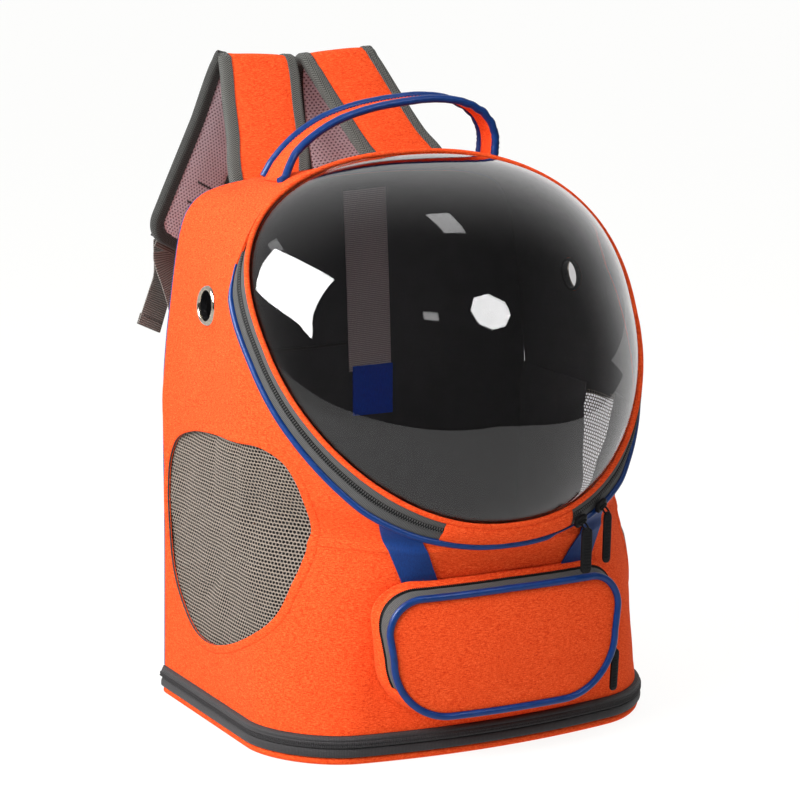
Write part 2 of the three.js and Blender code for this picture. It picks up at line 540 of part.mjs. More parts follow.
add('door_patch', sheetSolid(bandGrid(ZIP_RIGHT_PHI + 0.2, ZIP_LEFT_PHI - 0.2, 10, 0), bandGrid(ZIP_RIGHT_PHI + 0.2, ZIP_LEFT_PHI - 0.2, 10, -ZIP_T)), 'orange');
function pipingPoint(phi) {
  const a = doorEdge(phi), d = rimPoint(phi).sub(a).normalize();
  return a.addScaledVector(d, PIPING_R + GAP + 0.5).addScaledVector(rimOutward(phi), 0.7);
}
const PIPING_TOP = ZIP_TOP_PHI + 1.5;
add('door_piping', cord(Array.from({ length: 41 }, (_, i) => pipingPoint(lerp(-180 - PIPING_TOP, PIPING_TOP, i / 40))), PIPING_R, 5, false), 'blue');

// sliders and pulls on the right zipper
const SLIDER = { l: 11, w: 8, h: 4.4 };
const PULL = { w: 6, t: 3.4, l: 36 };   // long flat pull
function pullSolid(top, lean, size) {
  const rings = [[0, 0.55], [0.06, 0.8], [0.3, 0.75], [0.55, 1], [0.92, 1], [1, 0.7]].map(([s, k]) => {
    const c = top.clone().add(V(lean.x * s, lean.y * s, -size.l * s));
    return [[-1, -1], [1, -1], [1, 1], [-1, 1]].map(([a, b]) => V(c.x + a * k * size.w / 2, c.y + b * size.t / 2, c.z));
  });
  return ringSolid(rings, false);
}
// share: place across the band; drop and length of the pull
[{ name: 'a', phi: -112.5, share: 0.37, w: 8.6, l: 36 }, { name: 'b', phi: -121.5, share: 0.36, w: 6.4, l: 40 }].forEach(({ name, phi, share, w, l }) => {
  const a = doorEdge(phi), b = rimPoint(phi), d = b.clone().sub(a).normalize();
  const along = rimPoint(phi + 0.5).sub(rimPoint(phi - 0.5)).normalize();
  const n = d.clone().cross(along).normalize();
  if (n.dot(rimOutward(phi)) < 0) n.negate();
  const m = new THREE.Matrix4().makeBasis(along, d, n.clone());
  const c = a.clone().lerp(b, share).addScaledVector(n, SLIDER.h / 2 + GAP + 2.3);
  const g = new THREE.BoxGeometry(SLIDER.l, SLIDER.w, SLIDER.h);
  if (m.determinant() < 0) m.makeBasis(along.clone().negate(), d, n);
  g.applyMatrix4(m).translate(c.x, c.y, c.z);
  add(`zip_slider_${name}`, toGeometry(toManifold(g)), 'black');
  const top = c.clone().addScaledVector(n, SLIDER.h / 2).add(V(0, -PULL.t / 2 - GAP - 3.6, -3));
  add(`zip_pull_${name}`, pullSolid(top, V(0, 1.5, 0), { ...PULL, w, l }), 'black');
});

// ---------------------------------------------------------------- tabs and pocket
function onFront(x, z, lift) {
  const y = frontY(x, z), e = 0.5;
  const n = V(-(frontY(x + e, z) - frontY(x - e, z)) / (2 * e), 1, -(frontY(x, z + e) - frontY(x, z - e)) / (2 * e)).normalize().negate();
  return V(x, y, z).addScaledVector(n, lift);
}
// place on the wall sheet seen along Y, with its normal
function frontAt(x, z) {
  let best = null;
  for (let i = 0; i < wallRows.length - 1; i++) for (let j = 0; j < WALL_COLUMNS; j++) {
    const q = [wallRows[i][j], wallRows[i + 1][j], wallRows[i + 1][j + 1], wallRows[i][j + 1]];
    for (const [a, b, c] of [[q[0], q[1], q[2]], [q[0], q[2], q[3]]]) {
      const d = (b.x - a.x) * (c.z - a.z) - (c.x - a.x) * (b.z - a.z);
      if (Math.abs(d) < 1e-6) continue;
      const s = ((x - a.x) * (c.z - a.z) - (c.x - a.x) * (z - a.z)) / d;
      const t = ((b.x - a.x) * (z - a.z) - (x - a.x) * (b.z - a.z)) / d;
      if (s < -1e-6 || t < -1e-6 || s + t > 1 + 1e-6) continue;
      const y = a.y + s * (b.y - a.y) + t * (c.y - a.y);
      const n = b.clone().sub(a).cross(c.clone().sub(a)).normalize();
      if (n.y > 0) n.negate();
      if (!best || y < best.p.y) best = { p: V(x, y, z), n };
    }
  }
  return best;
}
// each tab slants from the door piping in to the pocket: corners of its lower and upper edge
const TAB = { lowIn: { x: 52, z: 142.5 }, lowOut: { x: 81, z: 143.5 }, topIn: { x: 69, z: 168.5 }, topOut: { x: 97.5, z: 181.5 } };
const TAB_STEPS = 8;
const tabGrid = (lift) => Array.from({ length: TAB_STEPS + 1 }, (_, i) => [0, 1, 2, 3, 4].map((k) => {
  const v = i / TAB_STEPS, u = k / 4;
  const x = lerp(lerp(TAB.lowIn.x, TAB.lowOut.x, u), lerp(TAB.topIn.x, TAB.topOut.x, u), v);
  const z = lerp(lerp(TAB.lowIn.z, TAB.lowOut.z, u), lerp(TAB.topIn.z, TAB.topOut.z, u), v);
  const f = frontAt(-x, z) ?? { p: onFront(-x, z, 0) };
  return f.p.clone().add(V(0, -lift, 0));
}));
const tab = sheetSolid(tabGrid(1.9), tabGrid(3.1));
add('tab_left', tab, 'blue');
add('tab_right', mirror(tab), 'blue');

// pocket outline seen from the front, starting at the middle of the bottom and going to the left
function pocketOutline(grow, flare, n) {
  const w = POCKET.halfW + grow + flare * POCKET.flareSide, zt = POCKET.zTop + grow + flare * POCKET.flareTop, zb = POCKET.zBot - grow - flare * 2;
  const rt = POCKET.rTop + grow, rb = POCKET.rBot + grow, pts = [];
  pts.push(V(0, 0, zb - 0.0));
  for (let i = 0; i <= 8; i++) { const a = (i / 8) * Math.PI / 2; pts.push(V(-(w - 3 - rb) - rb * Math.sin(a), 0, zb + rb - rb * Math.cos(a))); }
  for (let i = 0; i <= 8; i++) { const a = (i / 8) * Math.PI / 2; pts.push(V(-(w - rt) - rt * Math.cos(a), 0, zt - rt + rt * Math.sin(a))); }
  pts.push(V(0, 0, zt + 1));
  const half = alongPolyline(pts), h = n / 2;
  const left = Array.from({ length: h + 1 }, (_, i) => half.at((i / h) * half.total));
  return [...left, ...left.slice(1, -1).reverse().map((p) => V(-p.x, 0, p.z))];
}
const faceY = (x, z) => POCKET.faceY - POCKET.faceBow * (1 - (x / POCKET.halfW) ** 2) - 2.5 * Math.sin(Math.PI * THREE.MathUtils.clamp((z - 38) / 95, 0, 1));
const PN = 36;
// share of the depth along the gusset at outline point i: 0 on the wall, 1 at the face
function gussetPoint(i, depth, grow) {
  const f = pocketOutline(grow, 0, PN)[i], w = pocketOutline(grow, 1, PN)[i];
  const x = lerp(w.x, f.x, depth), z = lerp(w.z, f.z, depth);
  const yw = frontY(w.x, Math.max(w.z, WALL_Z)) - 1.0, yf = faceY(f.x, f.z) + PIPING_R + GAP;
  return V(x, lerp(yw, yf, depth), z);
}
const isZip = (i) => { const k = Math.min(i, PN - i); return k >= 6; };     // over the top and down both sides
const gussetEnd = (i) => (isZip(i) ? 0.42 : 0.97);
const gussetGrid = (grow) => Array.from({ length: PN }, (_, i) => [0, 1].map((t) => gussetPoint(i, t * gussetEnd(i), grow)));
add('pocket_gusset', sheetSolid(gussetGrid(0), gussetGrid(-CLOTH), true), 'orange');
const zipIdx = Array.from({ length: PN }, (_, i) => i).filter((i) => Math.min(i, PN - i) >= 7);
const pocketZip = (grow) => zipIdx.map((i) => [0, 1].map((t) => gussetPoint(i, lerp(0.46, 0.97, t), grow)));
add('pocket_zip', sheetSolid(pocketZip(0), pocketZip(-ZIP_T)), 'grey');
const onFace = (p, drop) => V(p.x, faceY(p.x, p.z) + drop, p.z);
add('pocket_piping', cord(pocketOutline(-PIPING_R * 0.6, 0, PN).map((p) => onFace(p, 0)), PIPING_R, 5, true), 'blue');
const faceRim = pocketOutline(-PIPING_R * 1.6 - GAP - 0.3, 0, PN);
const facePole = V(0, 0, (POCKET.zTop + POCKET.zBot) / 2);
const faceGrid = (drop) => faceRim.map((p) => [1, 0.55, 0].map((t) => onFace(facePole.clone().lerp(p, t), drop)));
add('pocket_face', sheetSolid(faceGrid(0), faceGrid(CLOTH), true), 'orange');
const pocketEnd = gussetPoint(PN - 8, 0.72, 0);
const pocketSlider = new THREE.BoxGeometry(4.4, 8, 11).translate(pocketEnd.x + 2.2 + GAP + 1.0, pocketEnd.y, pocketEnd.z - 2);
add('pocket_slider', toGeometry(toManifold(pocketSlider)), 'black');
add('pocket_pull', pullSolid(V(pocketEnd.x + 5.4, pocketEnd.y, pocketEnd.z - 10), V(0, 3, 0), { w: 6.6, t: 3.4, l: 34 }), 'black');

// ---------------------------------------------------------------- handle
const handlePts = smooth(HANDLE_LINE.map((r) => V(r.x, HANDLE_Y, r.z)), 18);
const sideways = handlePts.map(() => V(0, 1, 0));
// the feet are cut to the slope of the top panel
const FOOT = { from: 430, level: 421, slope: 0.126, y: 57 };
function seatFeet(g) {
  const p = g.attributes.position;
  for (let i = 0; i < p.count; i++) {
    const w = THREE.MathUtils.clamp((FOOT.from - p.getZ(i)) / (FOOT.from - FOOT.level), 0, 1);
    p.setZ(i, p.getZ(i) - w * FOOT.slope * (p.getY(i) - FOOT.y));
  }
  return g;
}
add('handle_strap', seatFeet(ribbon(handlePts, sideways, HANDLE_W, HANDLE_T)), 'orange');
const edgeLine = (s) => handlePts.map((p) => V(p.x, p.y + s * (HANDLE_W / 2 + 2.6 + GAP), p.z));
add('handle_piping_front', seatFeet(cord(edgeLine(-1), 2.6, 5, false)), 'blue');
add('handle_piping_back', seatFeet(cord(edgeLine(1), 2.6, 5, false)), 'blue');

// ---------------------------------------------------------------- shoulder straps
const LOCK = { w: 38, h: 26, t: 4, slotW: 27, slotH: 4.5 };
const lockShape = new THREE.Shape().moveTo(-LOCK.w / 2, -LOCK.h / 2).lineTo(LOCK.w / 2, -LOCK.h / 2).lineTo(LOCK.w / 2, LOCK.h / 2).lineTo(-LOCK.w / 2, LOCK.h / 2).closePath();
[-7.5, 0.5, 8.5].forEach((c) => {
  const a = LOCK.slotW / 2, b = LOCK.slotH / 2;
  lockShape.holes.push(new THREE.Path().moveTo(-a, c - b).lineTo(-a, c + b).lineTo(a, c + b).lineTo(a, c - b).closePath());
});
function strapSet(side, line, webLine, tailLine, turn) {
  const pts = line.map((r) => V(r.x, r.y, r.z));
  const curve = alongPolyline(smooth(pts, 120)), rows = alongPolyline(pts), SL = curve.total;
  const frame = (s) => {
    const p = curve.at(s), e = 1.5;
    const T = curve.at(Math.min(s + e, SL)).sub(curve.at(Math.max(s - e, 0))).normalize();
    // direction across, by share of the length between the rows
    let i = 0, acc = 0;
    const share = (s / SL) * rows.total, seg = (k) => pts[k].distanceTo(pts[k + 1]);
    while (i < pts.length - 2 && acc + seg(i) < share) acc += seg(i++);
    const t = THREE.MathUtils.clamp((share - acc) / seg(i), 0, 1), a = line[i], b = line[i + 1];
    const W = V(lerp(a.wx, b.wx, t), lerp(a.wy, b.wy, t), lerp(a.wz, b.wz, t));
    W.addScaledVector(T, -W.dot(T)).normalize();
    return { p, T, W, N: T.clone().cross(W) };
  };
  const strapAt = (s, t, h) => { const f = frame(s); return f.p.clone().addScaledVector(f.W, t).addScaledVector(f.N, h); };
  // lengths along the strap where its rows stand: closer round the fold
  const stations = (end) => [...[0, 12, 26, 42, 60, 82, 104, 116, 124, 131, 138, 146, 158, 185, 215, 245, 268].filter((s) => s < end - 6), end];
  const coreHalf = STRAP_W / 2 - BIND_W - GAP - 1.3, coreEnd = SL - BIND_W - GAP, coreR = STRAP_END_R - BIND_W;
  const coreRow = (s, h) => {
    const k = Math.max(0, s - (coreEnd - coreR));
    const w = coreHalf - (coreR - Math.sqrt(Math.max(0, coreR * coreR - k * k)));
    return [-1, 0, 1].map((t) => strapAt(s, t * w, h));
  };
  const core = [...stations(coreEnd - coreR), coreEnd - coreR * 0.4, coreEnd];
  add(`strap_pad_${side}`, turn(sheetSolid(core.map((s) => coreRow(s, STRAP_T / 2)), core.map((s) => coreRow(s, -STRAP_T / 2)))), 'orange');
  // binding: down one edge, round the end, up the other edge
  const half = stations(SL - STRAP_END_R).map((s) => ({ s, t: STRAP_W / 2, ns: 0, nt: 1 }));
  for (let i = 1; i <= 4; i++) {
    const a = (i / 4) * Math.PI / 2;
    half.push({ s: SL - STRAP_END_R + STRAP_END_R * Math.sin(a), t: STRAP_W / 2 - STRAP_END_R * (1 - Math.cos(a)), ns: Math.sin(a), nt: Math.cos(a) });
  }
  const route = [...half, ...half.slice().reverse().map((q) => ({ s: q.s, t: -q.t, ns: q.ns, nt: -q.nt }))];
  const rings = route.map((q) => [[0, -1], [BIND_W, -1], [BIND_W, 1], [0, 1]].map(([d, h]) => strapAt(q.s - q.ns * d, q.t - q.nt * d, h * BIND_T / 2)));
  add(`strap_binding_${side}`, turn(ringSolid(rings, false)), 'grey');
  // ladder-lock buckle behind the lower end of the pad
  const end = frame(SL - 2), out = Math.sign(end.N.y) || 1;
  const basis = new THREE.Matrix4().makeBasis(end.W, end.T.clone().negate(), end.W.clone().cross(end.T.clone().negate()));
  const c = end.p.clone().addScaledVector(end.T, -14).addScaledVector(end.W, -1).addScaledVector(end.N, out * (BIND_T / 2 + GAP + LOCK.t / 2 + 0.3));
  const lock = toGeometry(toManifold(new THREE.ExtrudeGeometry(lockShape, { depth: LOCK.t, bevelEnabled: false }).translate(0, 0, -LOCK.t / 2)
    .applyMatrix4(basis).translate(c.x, c.y, c.z)));
  add(`ladder_lock_${side}`, turn(lock), 'black');
  // webbing down to the base and loose tail with its hem
  const foot = c.clone().addScaledVector(end.T, LOCK.h / 2 + 7);
  const webPts = smooth([foot, foot.clone().add(V(0, -0.5, -9)), ...webLine.map((r) => V(r.x, r.y, r.z))], 16);
  add(`strap_web_${side}`, turn(ribbon(webPts, webPts.map((_, i) => end.W.clone().lerp(V(1, 0, 0), THREE.MathUtils.clamp((i - 1) / 6, 0, 1))), WEB_W, WEB_T)), 'webbing');
  const top = c.clone().addScaledVector(end.T, 8).addScaledVector(end.N, out * (LOCK.t / 2 + GAP + WEB_T / 2 + 2));
  const tailPts = smooth([top, ...tailLine.map((r) => V(r.x, r.y, r.z))], 9);
  add(`strap_tail_${side}`, turn(ribbon(tailPts, tailPts.map((_, i) => end.W.clone().lerp(V(0.95, 0.25, -0.15), i / 9)), WEB_W, WEB_T)), 'webbing');
}
strapSet('left', [...STRAP_RISE, ...LEFT_HANG], LEFT_WEB, LEFT_TAIL, (g) => g);
strapSet('right', [...STRAP_RISE, ...RIGHT_HANG], RIGHT_WEB, RIGHT_TAIL, mirror);

// ---------------------------------------------------------------- inside
const innerY = BACK_Y - BACK_T - GAP - WEB_T / 2;
const innerStrip = (x, w, z0, z1, t) => new THREE.BoxGeometry(w, t, z1 - z0).translate(x, innerY, (z0 + z1) / 2);
add('inner_strap', toGeometry(toManifold(innerStrip(INNER_X, INNER_W, INNER_SPLIT + GAP, INNER_TOP, WEB_T))), 'webbing');
add('inner_strap_tab', toGeometry(toManifold(innerStrip(INNER_X + 4, INNER_W - 2, INNER_BOT, INNER_SPLIT, WEB_T))), 'blue');

export default group;
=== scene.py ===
# Pet carrier backpack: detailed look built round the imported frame.
# Lengths below are in millimetres, in the row frame; meshes are written in metres.
import bpy, bmesh, math
import numpy as np
from mathutils import Vector, Matrix, noise
from mathutils.bvhtree import BVHTree


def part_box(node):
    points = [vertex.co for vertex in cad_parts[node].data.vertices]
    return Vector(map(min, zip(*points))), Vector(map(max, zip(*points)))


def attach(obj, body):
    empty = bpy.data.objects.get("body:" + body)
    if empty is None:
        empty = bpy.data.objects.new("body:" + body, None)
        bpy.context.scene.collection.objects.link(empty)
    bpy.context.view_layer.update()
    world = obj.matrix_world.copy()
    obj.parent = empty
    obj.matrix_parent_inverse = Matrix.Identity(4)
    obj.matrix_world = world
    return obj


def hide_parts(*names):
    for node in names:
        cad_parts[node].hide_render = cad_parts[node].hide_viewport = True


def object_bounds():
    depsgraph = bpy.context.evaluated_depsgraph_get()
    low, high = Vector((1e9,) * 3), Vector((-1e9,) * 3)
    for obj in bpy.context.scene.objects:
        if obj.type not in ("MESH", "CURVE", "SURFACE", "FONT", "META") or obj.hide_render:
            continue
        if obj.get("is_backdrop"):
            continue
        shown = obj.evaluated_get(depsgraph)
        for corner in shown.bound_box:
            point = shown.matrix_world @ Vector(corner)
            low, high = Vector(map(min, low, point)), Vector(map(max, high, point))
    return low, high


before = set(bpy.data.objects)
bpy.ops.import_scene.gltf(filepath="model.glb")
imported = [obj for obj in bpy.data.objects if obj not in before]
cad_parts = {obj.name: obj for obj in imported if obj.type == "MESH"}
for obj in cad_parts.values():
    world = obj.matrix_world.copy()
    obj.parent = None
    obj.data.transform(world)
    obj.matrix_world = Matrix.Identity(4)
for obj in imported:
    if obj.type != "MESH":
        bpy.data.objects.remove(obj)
CAD_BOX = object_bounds()
SCENE = bpy.context.scene
MM = 0.001

# ------------------------------------------------------------------ sizes shared with the frame
GAP, CLOTH = 0.35, 2.0
BACK_Y, BACK_T = 121.0, 3.0
TRAY_H, BAND_H = 6.0, 16.0
WALL_Z = TRAY_H + BAND_H + 2 * GAP
# height, half width, straight front line, corner radius, forward bow
WALL_SECTIONS = np.array([
    [22, 166, -97, 58, 25], [60, 165.3, -98, 64, 26], [120, 164.6, -99, 78, 29], [150, 163.5, -101, 98, 36],
    [166, 162.5, -103, 110, 42], [184, 162, -105, 116, 46], [215, 162.5, -105, 110, 46], [250, 164, -105, 96, 46], [460, 164, -105, 96, 46]], float)
BACK_OUTLINE = np.array([
    [166, WALL_Z], [164.6, 127], [164, 250], [161, 289], [157, 320], [152.5, 352], [148.5, 373], [142.5, 389],
    [131, 401], [111, 408], [79, 412], [40, 414], [0, 414.5]], float)
RIM_A, RIM_B, RIM_N, RIM_K = 160.4, 158.0, 2.24, 0.175
RIM_O = np.array([0.0, -64.4, 310.8])
RIM_T = math.radians(34.77)
RIM_DISH, BEAD_R = 3.4, 3.4
DOME_RISE, DOME_T = 88.0, 2.0
PIPING_R = 2.0
# angle up from the rim's middle, out from the bead, back from the bead
DOOR_LINE = np.array([
    [-90, 8.8, 17], [-74, 9.4, 17.4], [-60, 11.6, 17.7], [-47, 12.6, 18], [-38, 10.2, 18.9], [-26, 7.2, 20], [-12, 4.6, 21.8], [0, 3, 23],
    [18, 3, 25], [26, 2.5, 17], [33, 1.5, 5.2], [40, 0.5, 4.3], [90, 0, 4.3]], float)
ZIP_TOP, ZIP_LEFT, ZIP_RIGHT, ZIP_T = 24.0, -69.0, -109.5, 1.6
WALL_STRIPS = np.array([
    [-90, 143.5], [-79, 151], [-65, 164], [-51, 184], [-37, 210], [-23, 238], [-9, 266], [5, 292], [17, 314], [26, 331],
    [35, 347], [46, 366], [57, 388], [67, 419], [78, 468], [90, 546]], float)
CORE_Y = 20.0
SEAM_X = 100.0
WINDOW = np.array([
    [64, 226.5], [97, 212.5], [113, 188], [114, 146], [104, 103], [72, 70], [38, 63], [-24, 81], [-62, 107], [-74, 141],
    [-78.5, 181], [-80, 203], [-72, 226], [-52, 236], [-23, 235.5], [17, 234]], float)
EYE_Y, EYE_Z, EYE_R, EYE_HOLE = 40.0, 329.0, 15.6, 11.2
PK = dict(halfW=99.0, zTop=133.0, zBot=38.0, rTop=27.0, rBot=48.0, faceY=-139.5, faceBow=10.0, flareTop=8.0, flareSide=2.0)
HANDLE_Y, HANDLE_W, HANDLE_T = 66.0, 20.0, 3.5
HANDLE_LINE = np.array([
    [-96, 421.6], [-86, 433], [-71, 447], [-48, 460.5], [-20, 469], [12, 473.5], [44, 474.5], [70, 469.5], [87, 459], [95, 444], [94.4, 420.9]], float)
STRAP_W, STRAP_T, BIND_W, BIND_T, STRAP_END_R = 68.0, 8.0, 9.5, 9.0, 19.0
STRAP_RISE = [
    [-67, 126.2, 384, 1, 0, 0], [-66, 129.4, 400, 1, 0, 0], [-63, 140, 414, 1, 0, 0], [-55.5, 157, 430, 1, 0, 0.02],
    [-46, 187, 461, 1, 0, 0.02], [-38.5, 209, 485.5, 1, 0, 0], [-36.5, 218.5, 493.5, 1, 0.04, -0.02], [-37.5, 227.5, 492, 0.98, 0.12, -0.12]]
LEFT_HANG = [
    [-43, 231.5, 481, 0.93, 0.24, -0.26], [-65, 229.5, 435, 0.87, 0.34, -0.36], [-91.5, 226.5, 382, 0.86, 0.36, -0.375], [-111, 224, 342, 0.86, 0.36, -0.375]]
RIGHT_HANG = [
    [-37.5, 231.5, 481, 0.93, 0.24, -0.26], [-40.5, 229.5, 435, 0.9, 0.32, -0.3], [-47, 226.5, 384, 0.9, 0.33, -0.3], [-54, 224, 344, 0.9, 0.33, -0.3]]
WEB_W, WEB_T = 24.0, 1.6
WEB_FOOT = [[-134, 130, 58], [-135.5, 122.6, 38], [-135.5, 122.4, 25]]
LEFT_WEB = [[-104, 222, 282], [-115, 186, 190], [-129, 150, 100]] + WEB_FOOT
RIGHT_WEB = [[-66, 222, 282], [-93, 186, 190], [-122, 150, 100]] + WEB_FOOT
LEFT_TAIL = [[-110, 242.5, 318], [-116, 242, 300], [-127, 237, 275]]
RIGHT_TAIL = [[-63, 242.5, 318], [-67, 242, 300], [-73, 237, 275]]
INNER_X, INNER_W, INNER_TOP, INNER_SPLIT, INNER_BOT = 14.0, 38.0, 398.0, 253.5, 212.5


# ------------------------------------------------------------------ small maths
def unit(v):
    v = np.asarray(v, float)
    return v / np.maximum(np.linalg.norm(v, axis=-1, keepdims=True), 1e-12)


def sstep(a, b, x):
    t = np.clip((np.asarray(x, float) - a) / (b - a), 0, 1)
    return t * t * (3 - 2 * t)


def table(tab, col, x):
    """Smooth monotone interpolation of one column of a table over its first column."""
    xs, ys = tab[:, 0], tab[:, col]
    h, d = np.diff(xs), np.diff(ys) / np.diff(xs)
    m = np.zeros(len(xs))
    m[0], m[-1] = d[0], d[-1]
    for i in range(1, len(xs) - 1):
        if d[i - 1] * d[i] > 0:
            w1, w2 = 2 * h[i] + h[i - 1], h[i] + 2 * h[i - 1]
            m[i] = (w1 + w2) / (w1 / d[i - 1] + w2 / d[i])
    x = np.clip(np.asarray(x, float), xs[0], xs[-1])
    i = np.clip(np.searchsorted(xs, x, side="right") - 1, 0, len(xs) - 2)
    t = (x - xs[i]) / h[i]
    t2, t3 = t * t, t * t * t
    return (2 * t3 - 3 * t2 + 1) * ys[i] + (t3 - 2 * t2 + t) * h[i] * m[i] + (3 * t2 - 2 * t3) * ys[i + 1] + (t3 - t2) * h[i] * m[i + 1]


def arclen(P):
    return np.concatenate([[0], np.cumsum(np.linalg.norm(np.diff(P, axis=0), axis=1))])


def at(P, d, L=None):
    L = arclen(P) if L is None else L
    d = np.clip(d, 0, L[-1])
    return np.stack([np.interp(d, L, P[:, k]) for k in range(P.shape[1])], -1)


def resample(P, n):
    L = arclen(P)
    return at(P, np.linspace(0, L[-1], n), L)


def spline(P, n, closed=False):
    """Centripetal curve through points, n + 1 points spaced evenly (n points if closed)."""
    P = np.asarray(P, float)
    if closed:
        Q = np.vstack([P[-1], P, P[0], P[1]])
    else:
        Q = np.vstack([2 * P[0] - P[1], P, 2 * P[-1] - P[-2]])
    out = []
    for i in range(1, len(Q) - 2):
        p0, p1, p2, p3 = Q[i - 1], Q[i], Q[i + 1], Q[i + 2]
        d1, d2, d3 = [max(np.linalg.norm(b - a) ** 0.5, 1e-6) for a, b in ((p0, p1), (p1, p2), (p2, p3))]
        t = np.linspace(0, 1, 24, endpoint=False)[:, None]
        m1 = ((p1 - p0) / d1 - (p2 - p0) / (d1 + d2) + (p2 - p1) / d2) * d2
        m2 = ((p2 - p1) / d2 - (p3 - p1) / (d2 + d3) + (p3 - p2) / d3) * d2
        out.append((2 * t**3 - 3 * t**2 + 1) * p1 + (t**3 - 2 * t**2 + t) * m1 + (3 * t**2 - 2 * t**3) * p2 + (t**3 - t**2) * m2)
    out.append(Q[-2][None])
    D = np.vstack(out)
    R = resample(D, n + 1)
    return R[:-1] if closed else R


def tangents(P, loop=False):
    if loop:
        return unit(np.roll(P, -1, 0) - np.roll(P, 1, 0))
    return unit(np.gradient(P, axis=0))


def soft(x, y, z, scale, seed):
    """Low, smooth, repeatable noise from about -1 to 1."""
    return noise.noise(Vector((x / scale + seed * 7.31, y / scale - seed * 3.77, z / scale + seed * 1.93)))


# ------------------------------------------------------------------ mesh builder
class Build:
    def __init__(self):
        self.v, self.f, self.m, self.uv, self.n = [], [], [], [], 0

    def points(self, P):
        P = np.asarray(P, float).reshape(-1, 3)
        base = self.n
        self.v.append(P)
        self.n += len(P)
        return base

    def faces(self, F, mat=0, uv=None):
        F = [tuple(int(i) for i in f) for f in F]
        self.f.extend(F)
        if np.ndim(mat) == 0:
            self.m.extend([int(mat)] * len(F))
        else:
            self.m.extend([int(k) for k in mat])
        self.uv.extend(uv if uv is not None else [[(0.0, 0.0)] * len(f) for f in F])

    def grid(self, P, mat=0, wu=False, wv=False, flip=False, uv=None):
        """P[nu, nv, 3]; uv is a pair of arrays in millimetres, one longer where the grid wraps."""
        nu, nv = P.shape[:2]
        base = self.points(P)
        F, U = [], []
        for i in range(nu if wu else nu - 1):
            for j in range(nv if wv else nv - 1):
                q = [(i, j), (i + 1, j), (i + 1, j + 1), (i, j + 1)]
                if flip:
                    q = q[::-1]
                F.append([base + (a % nu) * nv + (b % nv) for a, b in q])
                U.append([(float(uv[0][a, b]) * MM, float(uv[1][a, b]) * MM) for a, b in q] if uv is not None else [(0.0, 0.0)] * 4)
        self.faces(F, mat, U)
        return base

    def cap(self, ring, mat=0, flip=False):
        """Fan over a ring of vertex numbers."""
        V = np.vstack(self.v)
        c = self.points(V[list(ring)].mean(0))
        n = len(ring)
        F = [(c, ring[(k + 1) % n], ring[k]) if flip else (c, ring[k], ring[(k + 1) % n]) for k in range(n)]
        self.faces(F, mat)

    def loft(self, R, mat=0, loop=False, uv=None, caps=True, flip=False):
        """Rings R[n, m, 3] along a path, each ring closed."""
        n, m = R.shape[:2]
        base = self.grid(R, mat, wu=loop, wv=True, flip=flip, uv=uv)
        if not loop and caps:
            mm = mat if np.ndim(mat) == 0 else mat[0]
            self.cap([base + j for j in range(m)], mm, flip=flip)
            self.cap([base + (n - 1) * m + j for j in range(m)], mm, flip=not flip)
        return base

    def tube(self, P, r, sides=12, loop=False, mat=0, squash=None):
        n = len(P)
        T = tangents(P, loop)
        N = np.cross([0, 0, 1.0], T[0])
        if np.linalg.norm(N) < 0.2:
            N = np.cross([1.0, 0, 0], T[0])
        frames = []
        for i in range(n):
            N = unit(N - N.dot(T[i]) * T[i])
            frames.append(N)
        if loop:
            e = unit(frames[-1] - frames[-1].dot(T[0]) * T[0])
            B0 = np.cross(T[0], frames[0])
            twist = math.atan2(e.dot(B0), e.dot(frames[0]))
        else:
            twist = 0.0
        r = np.broadcast_to(np.asarray(r, float), (n,))
        L = arclen(np.vstack([P, P[:1]]) if loop else P)
        R = np.zeros((n, sides, 3))
        a = np.arange(sides) / sides * 2 * math.pi
        for i in range(n):
            B = np.cross(T[i], frames[i])
            k = a - twist * i / n
            R[i] = P[i] + r[i] * (np.cos(k)[:, None] * frames[i] + np.sin(k)[:, None] * B)
        rr = float(np.mean(r))
        nu = n + 1 if loop else n
        U = np.repeat(L[:nu, None], sides + 1, 1)
        Vv = np.repeat((np.arange(sides + 1) / sides * 2 * math.pi * rr)[None], nu, 0)
        return self.loft(R, mat, loop, (U, Vv))

    def box(self, c, X, Y, Z, half, mat=0, taper=1.0, bottom=True):
        """Small block with axes X, Y, Z; its +Z end is tapered."""
        c, X, Y, Z = (np.asarray(k, float) for k in (c, X, Y, Z))
        P = []
        for z in (-1, 1):
            k = taper if z > 0 else 1.0
            for x, y in ((-1, -1), (1, -1), (1, 1), (-1, 1)):
                P.append(c + X * half[0] * x * k + Y * half[1] * y * k + Z * half[2] * z)
        b = self.points(P)
        F = [(4, 5, 6, 7), (0, 1, 5, 4), (1, 2, 6, 5), (2, 3, 7, 6), (3, 0, 4, 7)] + ([(3, 2, 1, 0)] if bottom else [])
        if np.dot(np.cross(X, Y), Z) < 0:
            F = [f[::-1] for f in F]
        self.faces([[b + k for k in f] for f in F], mat)

    def capsule(self, a, b, n, r, mat=0, sides=6):
        """Thread lying from a to b, humped along n."""
        a, b, n = np.asarray(a, float), np.asarray(b, float), unit(n)
        T = unit(b - a)
        S = np.cross(T, n)
        L = np.linalg.norm(b - a)
        rings = []
        for t, k, h in ((0.0, 0.35, -0.5), (0.14, 0.9, 0.1), (0.5, 1.0, 0.35), (0.86, 0.9, 0.1), (1.0, 0.35, -0.5)):
            c = a + T * L * t + n * r * h
            rings.append([c + r * k * (math.cos(w) * S + math.sin(w) * n) for w in np.arange(sides) / sides * 2 * math.pi])
        self.loft(np.array(rings), mat)

    def mirrored(self):
        o = Build()
        for P in self.v:
            Q = P.copy()
            Q[:, 0] *= -1
            o.v.append(Q)
        o.f = [f[::-1] for f in self.f]
        o.uv = [u[::-1] for u in self.uv]
        o.m, o.n = list(self.m), self.n
        return o

